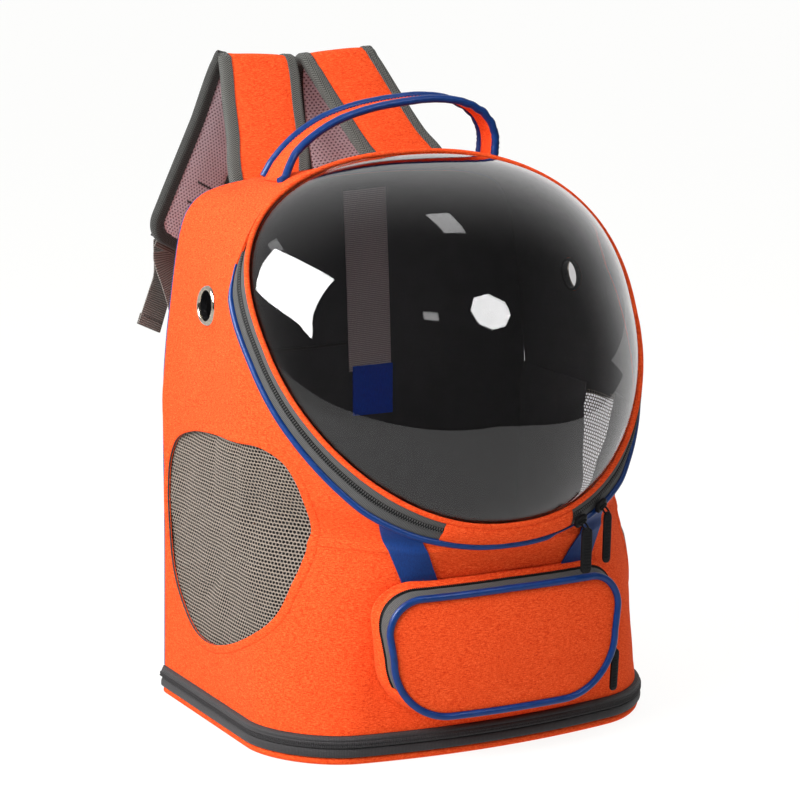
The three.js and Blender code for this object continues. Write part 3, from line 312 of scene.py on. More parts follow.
    def object(self, name, mats, slot, nodes=(), sharp=40.0, weld=0.0):
        V = np.vstack(self.v) * MM
        me = bpy.data.meshes.new(name)
        me.from_pydata(V.tolist(), [], self.f)
        for k in mats:
            me.materials.append(k)
        me.polygons.foreach_set("material_index", np.array(self.m, np.int32))
        me.polygons.foreach_set("use_smooth", np.ones(len(me.polygons), bool))
        lay = me.uv_layers.new(name="UVMap")
        lay.data.foreach_set("uv", np.array([c for f in self.uv for p in f for c in p], np.float32))
        me.update()
        o = bpy.data.objects.new(name, me)
        SCENE.collection.objects.link(o)
        tidy(o, sharp, weld)
        return settle(o, slot, nodes)


def tidy(o, sharp=40.0, weld=0.0):
    bm = bmesh.new()
    bm.from_mesh(o.data)
    if weld:
        bmesh.ops.remove_doubles(bm, verts=bm.verts, dist=weld * MM)
    if sharp is not None:
        lim = math.radians(sharp)
        for e in bm.edges:
            if len(e.link_faces) == 2 and e.calc_face_angle(0) > lim:
                e.smooth = False
    bm.to_mesh(o.data)
    bm.free()
    o.data.update()


def settle(o, slot, nodes=()):
    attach(o, "root")
    if nodes:
        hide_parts(*nodes)
    return o


# ------------------------------------------------------------------ materials
def srgb(r, g, b):
    f = lambda c: (c / 255 / 12.92) if c <= 10.3 else ((c / 255 + 0.055) / 1.055) ** 2.4
    return (f(r), f(g), f(b), 1.0)


class Mat:
    def __init__(self, name):
        self.m = bpy.data.materials.new(name)
        self.m.use_nodes = True
        self.t = self.m.node_tree
        self.b = self.t.nodes["Principled BSDF"]

    def set(self, **k):
        for n, v in k.items():
            self.b.inputs[n.replace("_", " ")].default_value = v
        return self

    def new(self, kind, **k):
        n = self.t.nodes.new(kind)
        for a, v in k.items():
            if a in n.inputs:
                n.inputs[a].default_value = v
            else:
                setattr(n, a, v)
        return n

    def link(self, a, b):
        self.t.links.new(a, b)

    def coords(self, kind, scale):
        tc = self.new("ShaderNodeTexCoord")
        mp = self.new("ShaderNodeMapping")
        mp.inputs["Scale"].default_value = scale
        self.link(tc.outputs[kind], mp.inputs["Vector"])
        return mp.outputs["Vector"]

    def noise(self, vec, scale, detail=2.0, rough=0.5):
        n = self.new("ShaderNodeTexNoise")
        n.inputs["Scale"].default_value = scale
        n.inputs["Detail"].default_value = detail
        n.inputs["Roughness"].default_value = rough
        self.link(vec, n.inputs["Vector"])
        return n.outputs["Fac"]

    def math(self, op, a, b=None, c=None, clamp=False):
        n = self.new("ShaderNodeMath", operation=op)
        n.use_clamp = clamp
        for i, x in enumerate((a, b, c)):
            if x is None:
                continue
            if isinstance(x, (int, float)):
                n.inputs[i].default_value = x
            else:
                self.link(x, n.inputs[i])
        return n.outputs[0]

    def ramp(self, fac, stops):
        n = self.new("ShaderNodeValToRGB")
        e = n.color_ramp.elements
        while len(e) < len(stops):
            e.new(0.5)
        for k, (p, c) in zip(e, stops):
            k.position, k.color = p, c
        self.link(fac, n.inputs["Fac"])
        return n.outputs["Color"]

    def mix(self, fac, a, b, mode="MIX"):
        n = self.new("ShaderNodeMix", data_type="RGBA", blend_type=mode)
        for i, x in ((0, fac), (6, a), (7, b)):
            if isinstance(x, (int, float)):
                n.inputs[i].default_value = x
            elif isinstance(x, tuple):
                n.inputs[i].default_value = x
            else:
                self.link(x, n.inputs[i])
        return n.outputs[2]

    def range(self, v, a, b, c, d):
        n = self.new("ShaderNodeMapRange")
        for i, x in ((1, a), (2, b), (3, c), (4, d)):
            n.inputs[i].default_value = x
        self.link(v, n.inputs[0])
        return n.outputs[0]

    def color(self, c):
        self.link(c, self.b.inputs["Base Color"])

    def rough(self, v):
        self.link(v, self.b.inputs["Roughness"])

    def bump(self, h, strength, dist, normal=None):
        n = self.new("ShaderNodeBump")
        n.inputs["Strength"].default_value = strength
        n.inputs["Distance"].default_value = dist
        self.link(h, n.inputs["Height"])
        if normal is not None:
            self.link(normal, n.inputs["Normal"])
        self.link(n.outputs["Normal"], self.b.inputs["Normal"])
        return n.outputs["Normal"]


def cloth_material(name, base, light, dark, amount=1.0):
    """Melange weave: slubbed yarns both ways over a fine plain weave."""
    k = Mat(name)
    k.set(Roughness=0.95, Sheen_Weight=0.04, Sheen_Roughness=0.45, Specular_IOR_Level=0.06)
    k.b.inputs["Sheen Tint"].default_value = srgb(255, 160, 90)
    weft = k.noise(k.coords("Object", (360, 360, 2500)), 1.0, 3.0, 0.65)
    warp = k.noise(k.coords("Object", (2600, 2600, 560)), 1.0, 3.0, 0.65)
    grain = k.noise(k.coords("Object", (2600, 2600, 2600)), 1.0, 2.0, 0.6)
    cloud = k.noise(k.coords("Object", (28, 28, 28)), 1.0, 2.0, 0.5)
    mel = k.math("ADD", k.math("MULTIPLY", weft, 0.46), k.math("ADD", k.math("MULTIPLY", warp, 0.29), k.math("MULTIPLY", grain, 0.25)))
    w = 0.086 / amount
    col = k.ramp(mel, [(0.5 - w, dark), (0.5, base), (0.5 + w, light)])
    col = k.mix(k.range(cloud, 0.35, 0.65, 0.0, 0.12), col, tuple(c * 0.86 for c in base[:3]) + (1.0,))
    k.color(col)
    fine = k.new("ShaderNodeTexWave", wave_type="BANDS", bands_direction="Z")
    fine.inputs["Scale"].default_value = 1.0
    fine.inputs["Distortion"].default_value = 1.2
    fine.inputs["Detail"].default_value = 1.0
    k.link(k.coords("Object", (300, 300, 300)), fine.inputs["Vector"])
    h = k.math("ADD", k.math("MULTIPLY", mel, 1.3), k.math("MULTIPLY", fine.outputs["Fac"], 0.12))
    k.bump(h, 0.55, 0.0006)
    return k.m


ORANGE = srgb(238, 84, 42)
M = {}
M["cloth"] = cloth_material("orange_melange", (0.79, 0.069, 0.0128, 1), (0.91, 0.146, 0.038, 1), (0.57, 0.030, 0.0075, 1))
M["cloth_top"] = M["cloth"]


def lining_material():
    k = Mat("dark_lining")
    k.set(Roughness=0.8, Specular_IOR_Level=0.25)
    n = k.noise(k.coords("Object", (70, 70, 70)), 1.0, 2.0, 0.6)
    k.color(k.ramp(n, [(0.3, (0.046, 0.045, 0.046, 1)), (0.7, (0.054, 0.053, 0.055, 1))]))
    k.bump(n, 0.1, 0.0010)
    return k.m


M["lining"] = lining_material()


def thread_material(name, c0, c1, scale=1400):
    k = Mat(name)
    k.set(Roughness=0.75, Specular_IOR_Level=0.3, Sheen_Weight=0.1)
    n = k.noise(k.coords("Object", (scale, scale, scale)), 1.0, 2.0, 0.6)
    k.color(k.ramp(n, [(0.3, c0), (0.7, c1)]))
    k.bump(n, 0.5, 0.0003)
    return k.m


M["mesh"] = thread_material("window_thread", srgb(110, 100, 91), srgb(143, 131, 119))
M["stitch"] = thread_material("stitch_thread", srgb(196, 58, 28), srgb(226, 84, 44), 3000)
M["stitch_dark"] = thread_material("stitch_thread_grey", srgb(40, 38, 38), srgb(66, 62, 62), 3000)
M["stitch_blue"] = thread_material("stitch_thread_blue", srgb(24, 50, 110), srgb(36, 70, 140), 3000)


def woven_uv_material(name, c0, c1, pitch_u, pitch_v, rough=0.8, chevron=False, depth=0.0005, mottled=0.35):
    """Tape with ribs across it (u runs along the tape); chevron makes a herringbone."""
    k = Mat(name)
    k.set(Roughness=rough, Specular_IOR_Level=0.25, Sheen_Weight=0.08)
    tc = k.new("ShaderNodeTexCoord")
    sep = k.new("ShaderNodeSeparateXYZ")
    k.link(tc.outputs["UV"], sep.inputs[0])
    u, v = sep.outputs[0], sep.outputs[1]
    if chevron:
        tri = k.math("PINGPONG", v, pitch_v * MM)
        u = k.math("ADD", u, k.math("MULTIPLY", tri, 1.0))
    ribs = k.math("ADD", k.math("MULTIPLY", k.math("SINE", k.math("MULTIPLY", u, 2 * math.pi / (pitch_u * MM))), 0.5), 0.5)
    if chevron:
        h = ribs
    else:
        cross = k.math("ADD", k.math("MULTIPLY", k.math("SINE", k.math("MULTIPLY", v, 2 * math.pi / (pitch_v * MM))), 0.5), 0.5)
        h = k.math("MULTIPLY", ribs, k.math("ADD", k.math("MULTIPLY", cross, 0.45), 0.55))
    n = k.noise(k.coords("UV", (1200, 1200, 1200)), 1.0, 2.0, 0.6)
    f = k.math("ADD", k.math("MULTIPLY", h, 1.0 - mottled), k.math("MULTIPLY", n, mottled))
    k.color(k.ramp(f, [(0.15, c0), (0.8, c1)]))
    k.bump(f, 0.8, depth)
    return k.m


M["zip_tape"] = woven_uv_material("zip_tape", srgb(52, 52, 52), srgb(92, 91, 90), 1.1, 0.9, 0.75)
M["band_tape"] = woven_uv_material("band_tape", srgb(34, 33, 34), srgb(58, 56, 58), 1.1, 0.9, 0.7)
M["binding"] = woven_uv_material("herringbone_binding", srgb(20, 20, 20), srgb(98, 98, 93), 2.0, 2.6, 0.85, chevron=True, mottled=0.22)
# darker copy of the binding: painted shade for the hanging part of each strap, past its top bend
M["binding_far"] = woven_uv_material("herringbone_binding_painted_shade", srgb(12, 12, 12), srgb(60, 60, 57), 2.0, 2.6, 0.85, chevron=True, mottled=0.22)
M["webbing"] = woven_uv_material("ribbed_webbing", srgb(58, 55, 53), srgb(140, 133, 127), 1.8, 1.5, 0.85, depth=0.0007)
M["inner_web"] = woven_uv_material("inner_webbing", srgb(140, 127, 126), srgb(216, 198, 196), 1.6, 1.3, 0.85, depth=0.0005)


def blue_tape_material(name, c0, c1):
    k = Mat(name)
    k.set(Roughness=0.6, Specular_IOR_Level=0.25)
    w = k.noise(k.coords("Object", (1600, 1600, 260)), 1.0, 2.0, 0.6)
    k.color(k.ramp(w, [(0.3, c0), (0.7, c1)]))
    k.bump(w, 0.4, 0.0004)
    return k.m


M["blue_tape"] = blue_tape_material("blue_tape", srgb(0, 36, 90), srgb(2, 50, 114))
M["inner_blue"] = blue_tape_material("inner_blue_tape", srgb(0, 58, 168), srgb(2, 74, 196))


def piping_material():
    k = Mat("blue_piping")
    k.set(Specular_IOR_Level=0.22, Coat_Weight=0.08, Coat_Roughness=0.2)
    n = k.noise(k.coords("Object", (160, 160, 160)), 1.0, 2.0, 0.5)
    k.color(k.ramp(n, [(0.3, srgb(0, 40, 96)), (0.7, srgb(2, 48, 110))]))
    k.rough(k.range(n, 0.3, 0.7, 0.34, 0.46))
    k.bump(n, 0.1, 0.0006)
    return k.m


M["piping"] = piping_material()


def plastic_material(name, c0, c1, rough, gloss=0.12):
    k = Mat(name)
    k.set(Specular_IOR_Level=gloss)
    n = k.noise(k.coords("Object", (1100, 1100, 1100)), 1.0, 3.0, 0.6)
    k.color(k.ramp(n, [(0.3, c0), (0.7, c1)]))
    k.rough(k.range(n, 0.3, 0.7, rough - 0.06, rough + 0.06))
    k.bump(n, 0.12, 0.0002)
    return k.m


M["black"] = plastic_material("black_moulded", (0.0035, 0.0035, 0.004, 1), (0.008, 0.008, 0.0085, 1), 0.5)
M["coil"] = plastic_material("coil_nylon", (0.003, 0.003, 0.0033, 1), (0.008, 0.008, 0.0085, 1), 0.5)
M["teeth"] = plastic_material("coil_teeth", (0.045, 0.045, 0.045, 1), (0.085, 0.085, 0.083, 1), 0.5, 0.2)
M["band_coil"] = plastic_material("band_coil_nylon", (0.028, 0.027, 0.028, 1), (0.052, 0.050, 0.052, 1), 0.55)


def chrome_material():
    k = Mat("eyelet_chrome")
    k.set(Metallic=1.0)
    n = k.noise(k.coords("Object", (300, 300, 300)), 1.0, 3.0, 0.6)
    k.color(k.ramp(n, [(0.3, srgb(150, 142, 130)), (0.7, srgb(178, 170, 157))]))
    k.rough(k.range(n, 0.3, 0.7, 0.08, 0.16))
    return k.m


M["chrome"] = chrome_material()


def air_mesh_material():
    """Spacer mesh: rows of small dark pores, every second row set over by half."""
    k = Mat("air_mesh")
    k.set(Roughness=0.8, Specular_IOR_Level=0.3, Sheen_Weight=0.15)
    tc = k.new("ShaderNodeTexCoord")
    sep = k.new("ShaderNodeSeparateXYZ")
    k.link(tc.outputs["UV"], sep.inputs[0])
    pu, pv = 2.3 * MM, 3.6 * MM
    row = k.math("DIVIDE", sep.outputs[0], pu)
    odd = k.math("MULTIPLY", k.math("MODULO", k.math("FLOOR", row), 2.0), 0.5)
    fu = k.math("SUBTRACT", k.math("FRACT", row), 0.5)
    fv = k.math("SUBTRACT", k.math("FRACT", k.math("ADD", k.math("DIVIDE", sep.outputs[1], pv), odd)), 0.5)
    d = k.math("SQRT", k.math("ADD", k.math("MULTIPLY", k.math("MULTIPLY", fu, fu), 1.0), k.math("MULTIPLY", k.math("MULTIPLY", fv, fv), 1.5)))
    hole = k.range(d, 0.16, 0.36, 0.0, 1.0)
    n = k.noise(k.coords("UV", (1500, 1500, 1500)), 1.0, 2.0, 0.6)
    c = k.ramp(n, [(0.3, srgb(176, 154, 161)), (0.7, srgb(220, 202, 208))])
    k.color(k.mix(hole, srgb(104, 80, 88), c))
    k.bump(k.math("ADD", hole, k.math("MULTIPLY", n, 0.2)), 0.9, 0.0009)
    return k.m


M["air"] = air_mesh_material()


def dome_material():
    k = Mat("smoke_clear")
    k.set(Roughness=0.0, IOR=1.39, Transmission_Weight=1.0, Specular_IOR_Level=0.5)
    n = k.noise(k.coords("Object", (6, 6, 6)), 1.0, 1.0, 0.5)
    k.color(k.ramp(n, [(0.2, (0.57, 0.56, 0.57, 1)), (0.8, (0.62, 0.61, 0.62, 1))]))
    return k.m


M["dome"] = dome_material()

# ------------------------------------------------------------------ camera, floor and light
cam_data = bpy.data.cameras.new("camera")
cam_data.sensor_width = 36.0
cam_data.lens = 3221.087 / 800 * 36.0
cam_data.clip_end = 60.0
cam = bpy.data.objects.new("camera", cam_data)
SCENE.collection.objects.link(cam)
SCENE.camera = cam
cr, cu, cf = Vector((0.8882154, -0.4594187, 0.002794)), Vector((0.0938449, 0.1873811, 0.9777942)), Vector((0.4497405, 0.8682297, -0.2095489))
cam.matrix_world = Matrix(((cr.x, cu.x, -cf.x, -1.1420531), (cr.y, cu.y, -cf.y, -2.1722648), (cr.z, cu.z, -cf.z, 0.7735912), (0, 0, 0, 1)))

fm = bpy.data.meshes.new("floor")
fm.from_pydata([(-14, -1.7, 0), (0.35, -1.6, 0), (1.2, -0.75, 0), (2.4, 0.5, 0), (14, 0.9, 0), (14, 14, 0), (-14, 14, 0)], [], [(0, 1, 2, 3, 4, 5, 6)])
floor = bpy.data.objects.new("floor", fm)
SCENE.collection.objects.link(floor)
k = Mat("pale_floor")
k.set(Roughness=0.9, Specular_IOR_Level=0.1, Emission_Strength=0.90)
k.b.inputs["Base Color"].default_value = (0.13, 0.13, 0.128, 1)
k.b.inputs["Emission Color"].default_value = (1.0, 1.0, 0.99, 1)
fm.materials.append(k.m)
floor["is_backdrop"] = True

world = bpy.data.worlds.new("studio")
SCENE.world = world
world.use_nodes = True
wt = world.node_tree
bg = wt.nodes["Background"]
wc = wt.nodes.new("ShaderNodeTexCoord")
ws = wt.nodes.new("ShaderNodeSeparateXYZ")
wt.links.new(wc.outputs["Generated"], ws.inputs[0])
wr = wt.nodes.new("ShaderNodeMapRange")
wr.interpolation_type = "SMOOTHSTEP"
wr.inputs[1].default_value, wr.inputs[2].default_value = -0.25, 0.75
wr.inputs[3].default_value, wr.inputs[4].default_value = 0.12, 1.0
wt.links.new(ws.outputs[1], wr.inputs[0])
wl = wt.nodes.new("ShaderNodeLightPath")
wm = wt.nodes.new("ShaderNodeMath")
wm.operation = "MAXIMUM"
wt.links.new(wr.outputs[0], wm.inputs[0])
wt.links.new(wl.outputs["Is Camera Ray"], wm.inputs[1])
wt.links.new(wm.outputs[0], bg.inputs["Strength"])
bg.inputs["Color"].default_value = (1, 1, 1, 1)


def softbox(name, direction, distance, size, radiance, aim=(0, -0.06, 0.30), roll=0.0, color=(1, 1, 1), shine=True, lit=True):
    """Rectangular light of a given brightness, facing the object."""
    d = Vector(direction).normalized()
    a = Vector(aim)
    data = bpy.data.lights.new(name, "AREA")
    data.shape = "RECTANGLE"
    data.size, data.size_y = size
    data.energy = radiance * math.pi * size[0] * size[1]
    data.color = color
    o = bpy.data.objects.new(name, data)
    o.location = a + d * distance
    o.rotation_euler = (d.to_track_quat("Z", "Y") @ Matrix.Rotation(roll, 3, "Z").to_quaternion()).to_euler()
    o.visible_glossy, o.visible_transmission, o.visible_diffuse = shine, shine, lit
    SCENE.collection.objects.link(o)
    return o


softbox("key", (-0.85, -0.22, 0.48), 1.6, (1.2, 1.0), 12.5, shine=False)
softbox("top", (0.05, -0.30, 0.95), 1.7, (1.5, 1.1), 3.1, shine=False)
softbox("key_card", (-0.83, 0.08, 0.55), 1.35, (0.86, 0.60), 30.0, lit=False)
softbox("ceiling_card", (0.31, 0.03, 0.95), 2.3, (0.52, 0.29), 4.6, lit=False)
softbox("far_card", (-0.23, -0.72, 0.65), 2.6, (0.30, 0.16), 5.0, lit=False)
softbox("side_card", (-0.61, 0.38, 0.69), 1.6, (0.30, 0.14), 2.4, lit=False)

# eight-sided fill card in front on the right
om = bpy.data.meshes.new("fill_card")
od = Vector((0.28, -0.70, 0.66)).normalized()
oq = od.to_track_quat("Z", "Y").to_matrix()
oc = Vector((0, -0.06, 0.30)) + od * 2.0
om.from_pydata([oc + oq @ Vector((0.36 * math.cos((q + 0.5) * math.pi / 4), 0.27 * math.sin((q + 0.5) * math.pi / 4), 0)) for q in range(8)], [], [tuple(range(8))[::-1]])
card = bpy.data.objects.new("fill_card", om)
SCENE.collection.objects.link(card)
k = Mat("fill_card")
k.set(Emission_Strength=19.0)
k.b.inputs["Base Color"].default_value = (0, 0, 0, 1)
k.b.inputs["Emission Color"].default_value = (1, 1, 1, 1)
om.materials.append(k.m)
card.visible_diffuse = False
card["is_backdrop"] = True

SCENE.view_settings.view_transform = "Standard"
SCENE.view_settings.look = "None"
SCENE.view_settings.exposure = 0.0

# ------------------------------------------------------------------ wall surface
RIM_NORMAL = np.array([0, -math.cos(RIM_T), math.sin(RIM_T)])
RIM_UP = np.array([0, math.sin(RIM_T), math.cos(RIM_T)])


def spow(v, e):
    return np.sign(v) * np.abs(v) ** e


def rim_plane(phi, inset=0.0):
    p = np.radians(np.asarray(phi, float))
    c, s = spow(np.cos(p), 2 / RIM_N), spow(np.sin(p), 2 / RIM_N)
    return -(RIM_A - inset) * c * (1 + RIM_K * np.sin(p)), (RIM_B - inset) * s


def rim_point(phi, inset=0.0):
    u, v = rim_plane(phi, inset)
    u, v = np.atleast_1d(u), np.atleast_1d(v)
    P = RIM_O + np.stack([u, 0 * u, 0 * u], -1) + v[:, None] * RIM_UP - (RIM_DISH * (u / RIM_A) ** 2)[:, None] * RIM_NORMAL
    return P


def rim_outward(phi):
    phi = np.atleast_1d(np.asarray(phi, float))
    t = unit(rim_point(phi + 1) - rim_point(phi - 1))
    o = unit(np.cross(t, RIM_NORMAL))
    s = np.sign(((rim_point(phi) - RIM_O) * o).sum(1))
    return o * s[:, None]


def fold_phi(phi):
    phi = np.atleast_1d(np.asarray(phi, float))
    return np.where(phi > 90, 180 - phi, np.where(phi < -90, -180 - phi, phi))


def door_edge(phi):
    phi = np.atleast_1d(np.asarray(phi, float))
    q = fold_phi(phi)
    out, back = table(DOOR_LINE, 1, q), table(DOOR_LINE, 2, q)
    return rim_point(phi) + rim_outward(phi) * out[:, None] - RIM_NORMAL * back[:, None]


def even_phi(a, b, n):
    """n + 1 angles from a to b, evenly spaced along the rim."""
    f = np.linspace(a, b, 721)
    L = arclen(rim_point(f))
    return np.interp(np.linspace(0, L[-1], n + 1), L, f)


def plan_curve(z):
    hw, front, corner, bow = (float(table(WALL_SECTIONS, c, z)) for c in (1, 2, 3, 4))
    end = front + corner
    a = np.linspace(0, math.pi / 2, 37)[1:]
    P = np.vstack([
        np.stack([np.full(25, -hw), np.linspace(BACK_Y, end, 25)], -1),
        np.stack([-hw + corner * (1 - np.cos(a)), end - corner * np.sin(a)], -1),
        np.stack([np.linspace(-hw + corner, 0, 19)[1:], np.full(18, front)], -1)])
    w = np.clip((BACK_Y - P[:, 1]) / (BACK_Y - front), 0, 1) ** 2
    P[:, 1] -= bow * (1 - (P[:, 0] / hw) ** 2) * w
    return P


PLAN_Z = np.linspace(WALL_Z - 1, 465, 260)
PLANS = [plan_curve(z) for z in PLAN_Z]
PLAN_L = [arclen(p) for p in PLANS]


def plan_at(z):
    i = int(np.clip(round((z - PLAN_Z[0]) / (PLAN_Z[1] - PLAN_Z[0])), 0, len(PLANS) - 1))
    return PLANS[i], PLAN_L[i]


def front_y(x, z):
    P = plan_curve(max(z, WALL_Z))
    return float(np.interp(-abs(x), P[37:, 0], P[37:, 1])) if -abs(x) > P[37, 0] else float(np.interp(-abs(x), P[24:38, 0], P[24:38, 1]))


BACK_LINE = np.stack([-BACK_OUTLINE[:, 0], np.full(len(BACK_OUTLINE), BACK_Y), BACK_OUTLINE[:, 1]], -1)
BACK_SMOOTH = spline(BACK_LINE, 400)
BACK_L = arclen(BACK_SMOOTH)
BACK_SCALE = BACK_L[-1] / arclen(BACK_LINE)[-1]


def back_at(d):
    return at(BACK_SMOOTH, np.atleast_1d(d) * BACK_SCALE, BACK_L)


def wall_strip(back, front, cols, mix):
    """One strip from the back seam to the door edge; mix 1 is straight, 0 is bent round the plan."""
    t = np.linspace(0, 1, cols + 1)
    line = back + (front - back) * t[:, None]
    if mix >= 1:
        return line
    c, cl = plan_at(front[2])
    ang = np.arctan2(-c[:, 0], CORE_Y - c[:, 1])
    target = math.atan2(-front[0], CORE_Y - front[1])
    i = 0
    while i < len(c) - 2 and ang[i + 1] > target:
        i += 1
    k = np.clip((ang[i] - target) / max(ang[i] - ang[i + 1], 1e-9), 0, 1)
    cut = c[i] + (c[i + 1] - c[i]) * k
    part = np.vstack([c[: i + 1], cut])
    pl = arclen(part)
    kxb = back[0] / c[0, 0]
    kxf = front[0] / cut[0] if abs(cut[0]) > 1 else 1.0
    kyf = (front[1] - CORE_Y) / (cut[1] - CORE_Y)
    out = np.zeros((cols + 1, 3))
    p = at(part, t * pl[-1], pl)
    for j in range(cols + 1):
        z = back[2] + (front[2] - back[2]) * t[j]
        zc, zl = plan_at(z)
        q = at(zc, np.array([t[j] * pl[-1] / cl[-1] * zl[-1]]), zl)[0]
        w = 0.0 if abs(front[2] - back[2]) < 1 else t[j]
        x, y = q[0] + (p[j, 0] - q[0]) * w, q[1] + (p[j, 1] - q[1]) * w
        out[j] = (x * (kxb + (kxf - kxb) * t[j]), CORE_Y + (y - CORE_Y) * (1 + (kyf - 1) * t[j] ** 2), z)
    out[0, 1] = BACK_Y
    out[-1] = front
    return out * (1 - mix) + line * mix


COLS = 60
LOW = 30
rows = []
for z in np.linspace(WALL_Z, 165.0, LOW, endpoint=False):
    b = back_at(z - WALL_Z)[0]
    b[2] = z
    f = np.array([0.0, plan_at(z)[0][-1, 1], z])
    rows.append(wall_strip(b, f, COLS, 0.0))
PHIS = np.concatenate([np.linspace(-90, -60, 14, endpoint=False), np.linspace(-60, 30, 40, endpoint=False), np.linspace(30, 90, 26)])
for phi in PHIS:
    up = float(table(WALL_STRIPS, 1, phi))
    b = back_at(up)[0] if phi < 90 else np.array([0.0, BACK_Y, 414.5])
    f = door_edge(phi)[0]
    if abs(phi) == 90:
        f[0] = 0.0
    rows.append(wall_strip(b, f, COLS, float(sstep(17, 26, phi))))
WALL = np.array(rows)


def grid_normals(G):
    du = np.gradient(G, axis=0)
    dv = np.gradient(G, axis=1)
    n = unit(np.cross(du, dv))
    s = np.sign((n * (G - np.array([0, 30, 250]))).sum(-1))
    s[s == 0] = 1
    return n * s[..., None]


def cloth_ripple(p, side):
    """How far the cloth stands off its taut shape, mostly inwards."""
    x, y, z = p
    x = x * side
    d = -0.55 + 0.75 * soft(x, y, z, 70, 1) + 0.35 * soft(x, y, z, 27, 2)
    # slack folds above the base at the front corner
    corner = math.exp(-((abs(x) - 128) / 30) ** 2) * math.exp(-((z - 60) / 45) ** 2) * (1 if y < 0 else 0)
    d -= corner * (0.9 + 0.9 * math.sin(x * 0.11 + z * 0.05 + side))
    return max(-2.4, min(0.35, d))


WALL_N = grid_normals(WALL)
for side_rows in (0,):
    N0 = WALL_N.copy()
    N0[:, 0, 1] = 0
    N0[:LOW, -1] = (0, -1, 0)
    N0[LOW, -1, 0] = 0
    N0[-1, :, 0] = 0
    N0[0, :, 2] = 0
    WALL_N = unit(N0)


def wall_sheet(side):
    """Outer sheet of one half with its ripples; side is -1 for the left and 1 for the right."""
    G = WALL.copy()
    nu, nv = G.shape[:2]
    for i in range(nu):
        for j in range(nv):
            edge = min(1.0, i / 3.0) * min(1.0, j / 3.0)
            if i >= LOW:
                edge *= min(1.0, (nv - 1 - j) / 4.0)
            if i == nu - 1:
                edge *= 0.6
            sd = side if G[i, j, 0] < -0.5 else 1
            G[i, j] += WALL_N[i, j] * cloth_ripple(G[i, j], sd) * edge
    return G


LEFT = wall_sheet(1)
RIGHT = wall_sheet(-1)
RIGHT[:LOW, -1] = LEFT[:LOW, -1]
RIGHT[-1] = LEFT[-1]
RIGHT[LOW, -1] = LEFT[LOW, -1]


def sheet_tree(G):
    nu, nv = G.shape[:2]
    V = [Vector(p) for p in G.reshape(-1, 3)]
    F = [(i * nv + j, (i + 1) * nv + j, (i + 1) * nv + j + 1, i * nv + j + 1) for i in range(nu - 1) for j in range(nv - 1)]
    return BVHTree.FromPolygons(V, F)


TREES = {1: sheet_tree(LEFT), -1: sheet_tree(RIGHT)}


def on_side(y, z, side=1):
    """Place and outward normal on the left wall (side 1) or the mirrored right wall (side -1), seen along X."""
    p, n, _, _ = TREES[side].ray_cast(Vector((-400, y, z)), Vector((1, 0, 0)))
    if p is None:
        p, n, _, _ = TREES[side].find_nearest(Vector((-165, y, z)))
    n = np.array(n)
    if n[0] > 0:
        n = -n
    return np.array(p), n


def on_front(x, z, side=1):
    p, n, _, _ = TREES[side].ray_cast(Vector((-abs(x), -400, z)), Vector((0, 1, 0)))
    if p is None:
        p, n, _, _ = TREES[side].find_nearest(Vector((-abs(x), -140, z)))
    n = np.array(n)
    if n[1] > 0:
        n = -n
    return np.array(p), n


# closed shell: outer cloth, inner lining, rims; both halves welded at the middle
wall = Build()
for G, flip in ((LEFT, False), (RIGHT, True)):
    Nn = WALL_N
    inner = G - Nn * CLOTH
    if flip:
        G, inner = G * np.array([-1, 1, 1]), inner * np.array([-1, 1, 1])
    nu, nv = G.shape[:2]
    base = wall.grid(G, 0, flip=flip)
    ib = wall.grid(inner, 1, flip=not flip)
    o = lambda i, j: base + i * nv + j
    q = lambda i, j: ib + i * nv + j
    F = []
    for j in range(nv - 1):
        F.append((o(0, j), o(0, j + 1), q(0, j + 1), q(0, j)))
    for i in range(nu - 1):
        F.append((o(i + 1, 0), o(i, 0), q(i, 0), q(i + 1, 0)))
        if i >= LOW:
            F.append((o(i, nv - 1), o(i + 1, nv - 1), q(i + 1, nv - 1), q(i, nv - 1)))
    wall.faces([f[::-1] for f in F] if flip else F, 0)

me = bpy.data.meshes.new("wall_source")
me.from_pydata((np.vstack(wall.v) * MM).tolist(), [], wall.f)
for kk in (M["cloth"], M["lining"]):
    me.materials.append(kk)
me.polygons.foreach_set("material_index", np.array(wall.m, np.int32))
bm = bmesh.new()
bm.from_mesh(me)
bmesh.ops.remove_doubles(bm, verts=bm.verts, dist=0.02 * MM)
bmesh.ops.dissolve_degenerate(bm, dist=0.01 * MM, edges=bm.edges)
bmesh.ops.recalc_face_normals(bm, faces=bm.faces)
bm.to_mesh(me)
bm.free()
wall_obj = bpy.data.objects.new("wall_source", me)
SCENE.collection.objects.link(wall_obj)


def outline_loop(grow, n=128):
    P = spline(np.stack([np.zeros(len(WINDOW)), WINDOW[:, 0], WINDOW[:, 1]], -1), n, closed=True)[:, 1:]
    # the outline offset outwards by grow along its normal
    T = tangents(P, True)
    N = np.stack([T[:, 1], -T[:, 0]], -1)
    c = P.mean(0)
    N *= np.sign(((P - c) * N).sum(1))[:, None]
    return P + N * grow


def cutter(name, loop_a, loop_b):
    n = len(loop_a)
    V = np.vstack([loop_a, loop_b]) * MM
    F = [tuple(range(n))[::-1], tuple(range(n, 2 * n))] + [(i, (i + 1) % n, n + (i + 1) % n, n + i) for i in range(n)]
    m = bpy.data.meshes.new(name)
    m.from_pydata(V.tolist(), [], F)
    m.materials.append(M["cloth"])
    b = bmesh.new()
    b.from_mesh(m)
    bmesh.ops.recalc_face_normals(b, faces=b.faces)
    b.to_mesh(m)
    b.free()
    o = bpy.data.objects.new(name, m)
    SCENE.collection.objects.link(o)
    return o


